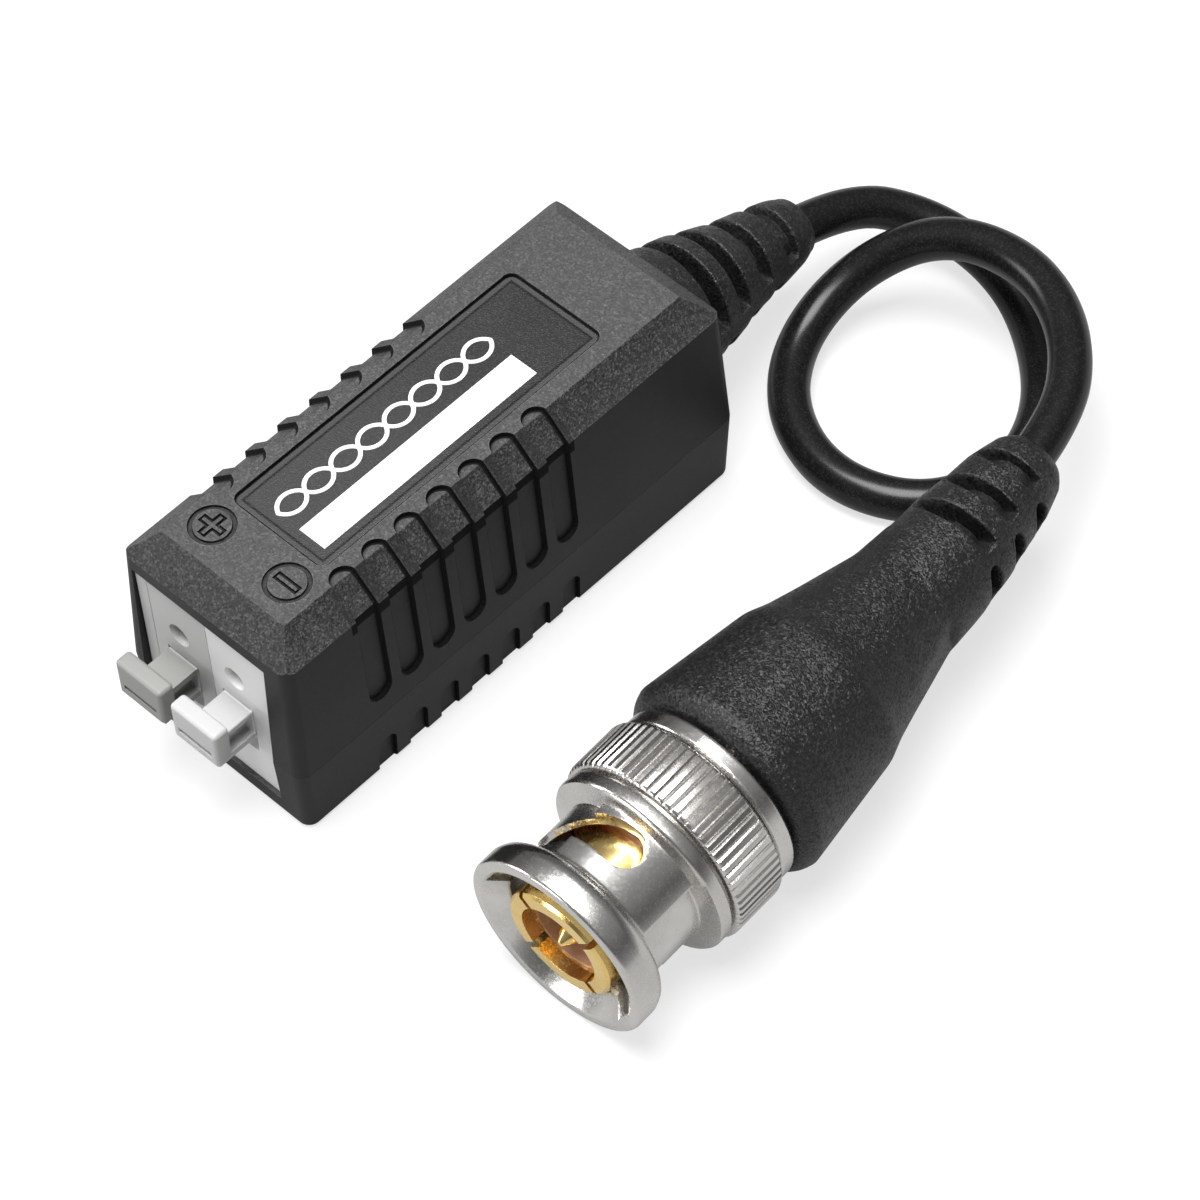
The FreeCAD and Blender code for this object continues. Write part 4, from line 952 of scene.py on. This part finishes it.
def windowCutter(s, turned):
    # the slot that a stud climbs, from its channel to the round end hole
    reach = math.degrees(s["detentRadius"] / s["barrelRadius"])
    first, steps = s["detentFrom"], s["detentSteps"]
    angles = [s["detentAngle"] - reach * math.cos(math.radians(first + (90 - first) * i / steps))
              for i in range(steps)]
    span = s["window"][-1][0] - s["detentAngle"]
    angles += [s["detentAngle"] + span * i / s["windowSteps"] for i in range(s["windowSteps"] + 1)]
    fronts = [(a, f) for a, f, b in s["window"]]
    backs = [(a, b) for a, f, b in s["window"]]
    points, faces = [], []
    for angle in angles:
        if angle < s["detentAngle"]:
            off = math.radians(s["detentAngle"] - angle) * s["barrelRadius"]
            half = math.sqrt(s["detentRadius"] ** 2 - off ** 2)
            low, high = s["detentPlace"] - half, s["detentPlace"] + half
        else:
            low, high = (softBetween(edge, angle, s["windowBlur"]) for edge in (fronts, backs))
        points += [plugSpot(place, angle + turned, radius)
                   for radius in s["windowReach"] for place in (low, high)]
    last = 4 * (len(angles) - 1)
    for a in range(0, last, 4):
        b = a + 4
        faces += [(a, a + 1, b + 1, b), (a + 2, b + 2, b + 3, a + 3), (a, b, b + 2, a + 2),
                  (a + 1, a + 3, b + 3, b + 1)]
    faces += [(0, 2, 3, 1), (last, last + 1, last + 3, last + 2)]
    return cleaned(newPiece("windowCutter", points, faces), s["cutterWeld"])


def channelCutter(s, angle):
    # straight groove along the bore that a stud enters by
    turn = math.radians(angle)
    out = plugSide * math.cos(turn) + plugUp * math.sin(turn)
    across = plugBack.cross(out)
    points = [plugRim + (plugBack * place + out * far + across * side * s["channelWidth"]) * mm
              for place in (s["channelStart"], s["channelEnd"])
              for far in (s["channelFloor"], s["channelRadius"])
              for side in (-0.5, 0.5)]
    faces = [(0, 1, 3, 2), (4, 6, 7, 5), (0, 4, 5, 1), (2, 3, 7, 6), (0, 2, 6, 4), (1, 5, 7, 3)]
    return cleaned(newPiece("channelCutter", points, faces), s["cutterWeld"])


def makeKnurledGrip(s):
    # teeth of uneven depth round the rear of the sleeve
    draw = random.Random(s["toothSeed"])
    depths = [s["toothDepth"] * draw.uniform(*s["toothSpread"]) for _ in range(s["teeth"])]
    teeth = [(depth, share) for depth in depths for share in s["toothShares"]]
    angles = evenAngles(len(teeth))
    rings = [[plugSpot(place, a, radius - cut * depth * share) for a, (depth, share) in zip(angles, teeth)]
             for place, radius, cut in s["knurl"]]
    rings += [[plugSpot(place, a, radius) for a in angles] for place, radius in s["knurlBore"]]
    return ringPiece("knurledGrip", rings, weld=s["weld"])


def makeSleeve(s):
    # even steps round the axis, and close pairs at the sides of the thin zones
    sides = [s["thinMiddle"] + turn + side * s["thinHalf"] for turn in (0, 180) for side in (-1, 1)]
    angles = [a for a in evenAngles(s["segments"])
              if all(abs((a - b + 180) % 360 - 180) > s["thinStep"] for b in sides)]
    angles = sorted(angles + [(b + side * s["thinStep"] / 2) % 360 for b in sides for side in (-1, 1)])

    def isThin(angle):
        off = (angle - s["thinMiddle"] + 90) % 180 - 90
        return abs(off) < s["thinHalf"]

    low, high, steps = s["barrel"]
    barrel = [(low + (high - low) * i / steps, s["barrelRadius"], s["thinRadius"]) for i in range(1, steps + 1)]
    rings = [[plugSpot(place, a, radii[-1] if isThin(a) else radii[0]) for a in angles]
             for place, *radii in s["outer"] + barrel + s["ring"] + s["inner"]]
    piece = ringPiece("bayonetSleeve", rings, weld=s["weld"])
    cutters = []
    for turn in (0, 180):
        cutters += [windowCutter(s, turn), channelCutter(s, s["channelAngle"] + turn)]
    for cutter in cutters:
        cut = piece.modifiers.new("cut", "BOOLEAN")
        cut.operation = "DIFFERENCE"
        cut.solver = "EXACT"
        cut.object = cutter
    applyModifiers(piece)
    cleaned(piece, s["cutWeld"])
    addBevel(piece, "cutEdge", s["cutEdge"], s["cutSegments"], s["cutAngle"])
    applyModifiers(piece)
    grip = makeKnurledGrip(s)
    form = bmesh.new()
    form.from_mesh(piece.data)
    form.from_mesh(grip.data)
    form.to_mesh(piece.data)
    form.free()
    for used in cutters + [grip]:
        bpy.data.objects.remove(used)
    smoothShade(piece, s["sharpAngle"])
    return finishPiece(piece, "sleeve", "nickel", ["bayonet_sleeve"])


bayonetSleeve = makeSleeve(sleeve)
print("bayonet sleeve turned and cut")


# moulded and turned pieces with their small edge radii

softEdges = {
    # node: radius and segments
    "upper_cover": (0.08, 2), "lower_case": (0.09, 2),
    "terminal_side_lid": (0.08, 2), "grey_terminal_body": (0.1, 2), "white_terminal_body": (0.17, 3),
    "grey_lever": (0.12, 3), "white_lever": (0.14, 3),
    "outer_contact": (0.05, 2), "centre_pin": (0.04, 2), "insulator": (0.05, 2), "plug_body": (0.08, 2),
    "top_label": (0.02, 1), "thrust_washer": (0.04, 1), "crimp_ferrule": (0.08, 2),
    "circuit_board": (0.03, 1), "ferrite_core": (0.25, 3), "surge_suppressor": (0.12, 2),
}
softLimits = {"sharpAngle": 38.0, "flatAngle": 0.4, "weld": 0.0005}


def softCopy(s, node, width, segments):
    source = nodes[node]
    piece = bpy.data.objects.new("soft_" + node, source.data.copy())
    bpy.context.scene.collection.objects.link(piece)
    form = bmesh.new()
    form.from_mesh(piece.data)
    bmesh.ops.remove_doubles(form, verts=form.verts, dist=s["weld"] * mm)
    bmesh.ops.dissolve_limit(form, angle_limit=math.radians(s["flatAngle"]), verts=form.verts, edges=form.edges)
    form.to_mesh(piece.data)
    form.free()
    if piece.data.has_custom_normals:
        piece.data.attributes.remove(piece.data.attributes["custom_normal"])
    smoothShade(piece, s["sharpAngle"])
    addBevel(piece, "edgeRadius", width, segments, s["sharpAngle"]).harden_normals = True
    return finishPiece(piece, source["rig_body"], slotOf[node], [node])


softPieces = {node: softCopy(softLimits, node, *edge) for node, edge in softEdges.items()}
print("edges softened:", len(softPieces))


# floor, light and background

studio = {
    "floorSize": 6.0, "floorDrop": 0.02, "floorShade": 0.86, "floorBounce": 0.34, "whiten": 0.70,
    "floorMirror": 0.36, "fadeFrom": 0.12, "fadeTo": 0.5, "worldFill": 0.17,
    # what the metal mirrors, from straight below to straight above
    "tones": [(0.0, 0.9), (0.52, 0.30), (0.66, 0.08), (0.78, 0.22), (0.9, 0.30), (1.0, 0.8)],
    # name, place, size and power, in metres and watts
    "lamps": [
        ("overBox", (-0.02, -0.06, 0.80), (0.50, 0.44), 11.0),
        ("leftBox", (-0.55, -0.30, 0.24), (0.24, 0.20), 1.2),
        ("frontBox", (-0.24, -0.64, 0.16), (0.26, 0.14), 1.3),
    ],
}


def makeFloor(s):
    half = s["floorSize"] / 2
    low = -s["floorDrop"] * mm
    corners = [(-half, -half, low), (half, -half, low), (half, half, low), (-half, half, low)]
    piece = newPiece("floor", corners, [(0, 1, 2, 3)])
    tree, shader = newFinish("pale_floor", {"Roughness": 1.0, "Specular IOR Level": 0.0})
    rays = addNode(tree, "ShaderNodeLightPath").outputs
    feed(shader.inputs["Base Color"],
         blendColour(rays["Is Camera Ray"], grey(s["floorBounce"]), grey(s["floorShade"])))
    seen = addMath("MAXIMUM", rays["Is Camera Ray"], times(rays["Is Glossy Ray"], s["floorMirror"]),
                   rays["Is Transmission Ray"])
    fade = addRange(addVector("LENGTH", objectPoint(tree)), s["fadeFrom"], s["fadeTo"], s["whiten"], 1.0)
    glow = addNode(tree, "ShaderNodeEmission", {"Color": grey(1.0), "Strength": 1.0})
    mix = addNode(tree, "ShaderNodeMixShader", {0: times(seen, fade), 1: shader.outputs[0], 2: glow.outputs[0]})
    feed(tree.nodes["Material Output"].inputs["Surface"], mix.outputs[0])
    piece.data.materials.append(finishes["pale_floor"])


def makeWorld(s):
    world = bpy.data.worlds.new("studio")
    bpy.context.scene.world = world
    world.use_nodes = True
    tree = world.node_tree
    rays = addNode(tree, "ShaderNodeLightPath").outputs
    height = splitVector(addNode(tree, "ShaderNodeTexCoord").outputs["Generated"])[2]
    tone = addRamp(addRange(height, -1, 1), [(spot, grey(value)) for spot, value in s["tones"]])
    fill = blendColour(rays["Is Glossy Ray"], grey(s["worldFill"]), tone)
    white = addMath("MAXIMUM", rays["Is Camera Ray"], rays["Is Transmission Ray"])
    backdrop = tree.nodes["Background"]
    feed(backdrop.inputs["Color"], blendColour(white, fill, grey(1.0)))
    backdrop.inputs["Strength"].default_value = 1.0


def makeLamps(s):
    aim = Vector(cameraPlace["target"]) * mm
    for name, place, size, power in s["lamps"]:
        light = bpy.data.lights.new(name, "AREA")
        light.shape = "RECTANGLE"
        light.size, light.size_y = size
        light.energy = power
        lamp = bpy.data.objects.new(name, light)
        lamp.location = place
        lamp.rotation_mode = "QUATERNION"
        lamp.rotation_quaternion = (aim - Vector(place)).to_track_quat("-Z", "Y")
        bpy.context.scene.collection.objects.link(lamp)


makeFloor(studio)
makeWorld(studio)
makeLamps(studio)
bpy.context.scene.view_settings.view_transform = "Standard"
print("studio set")
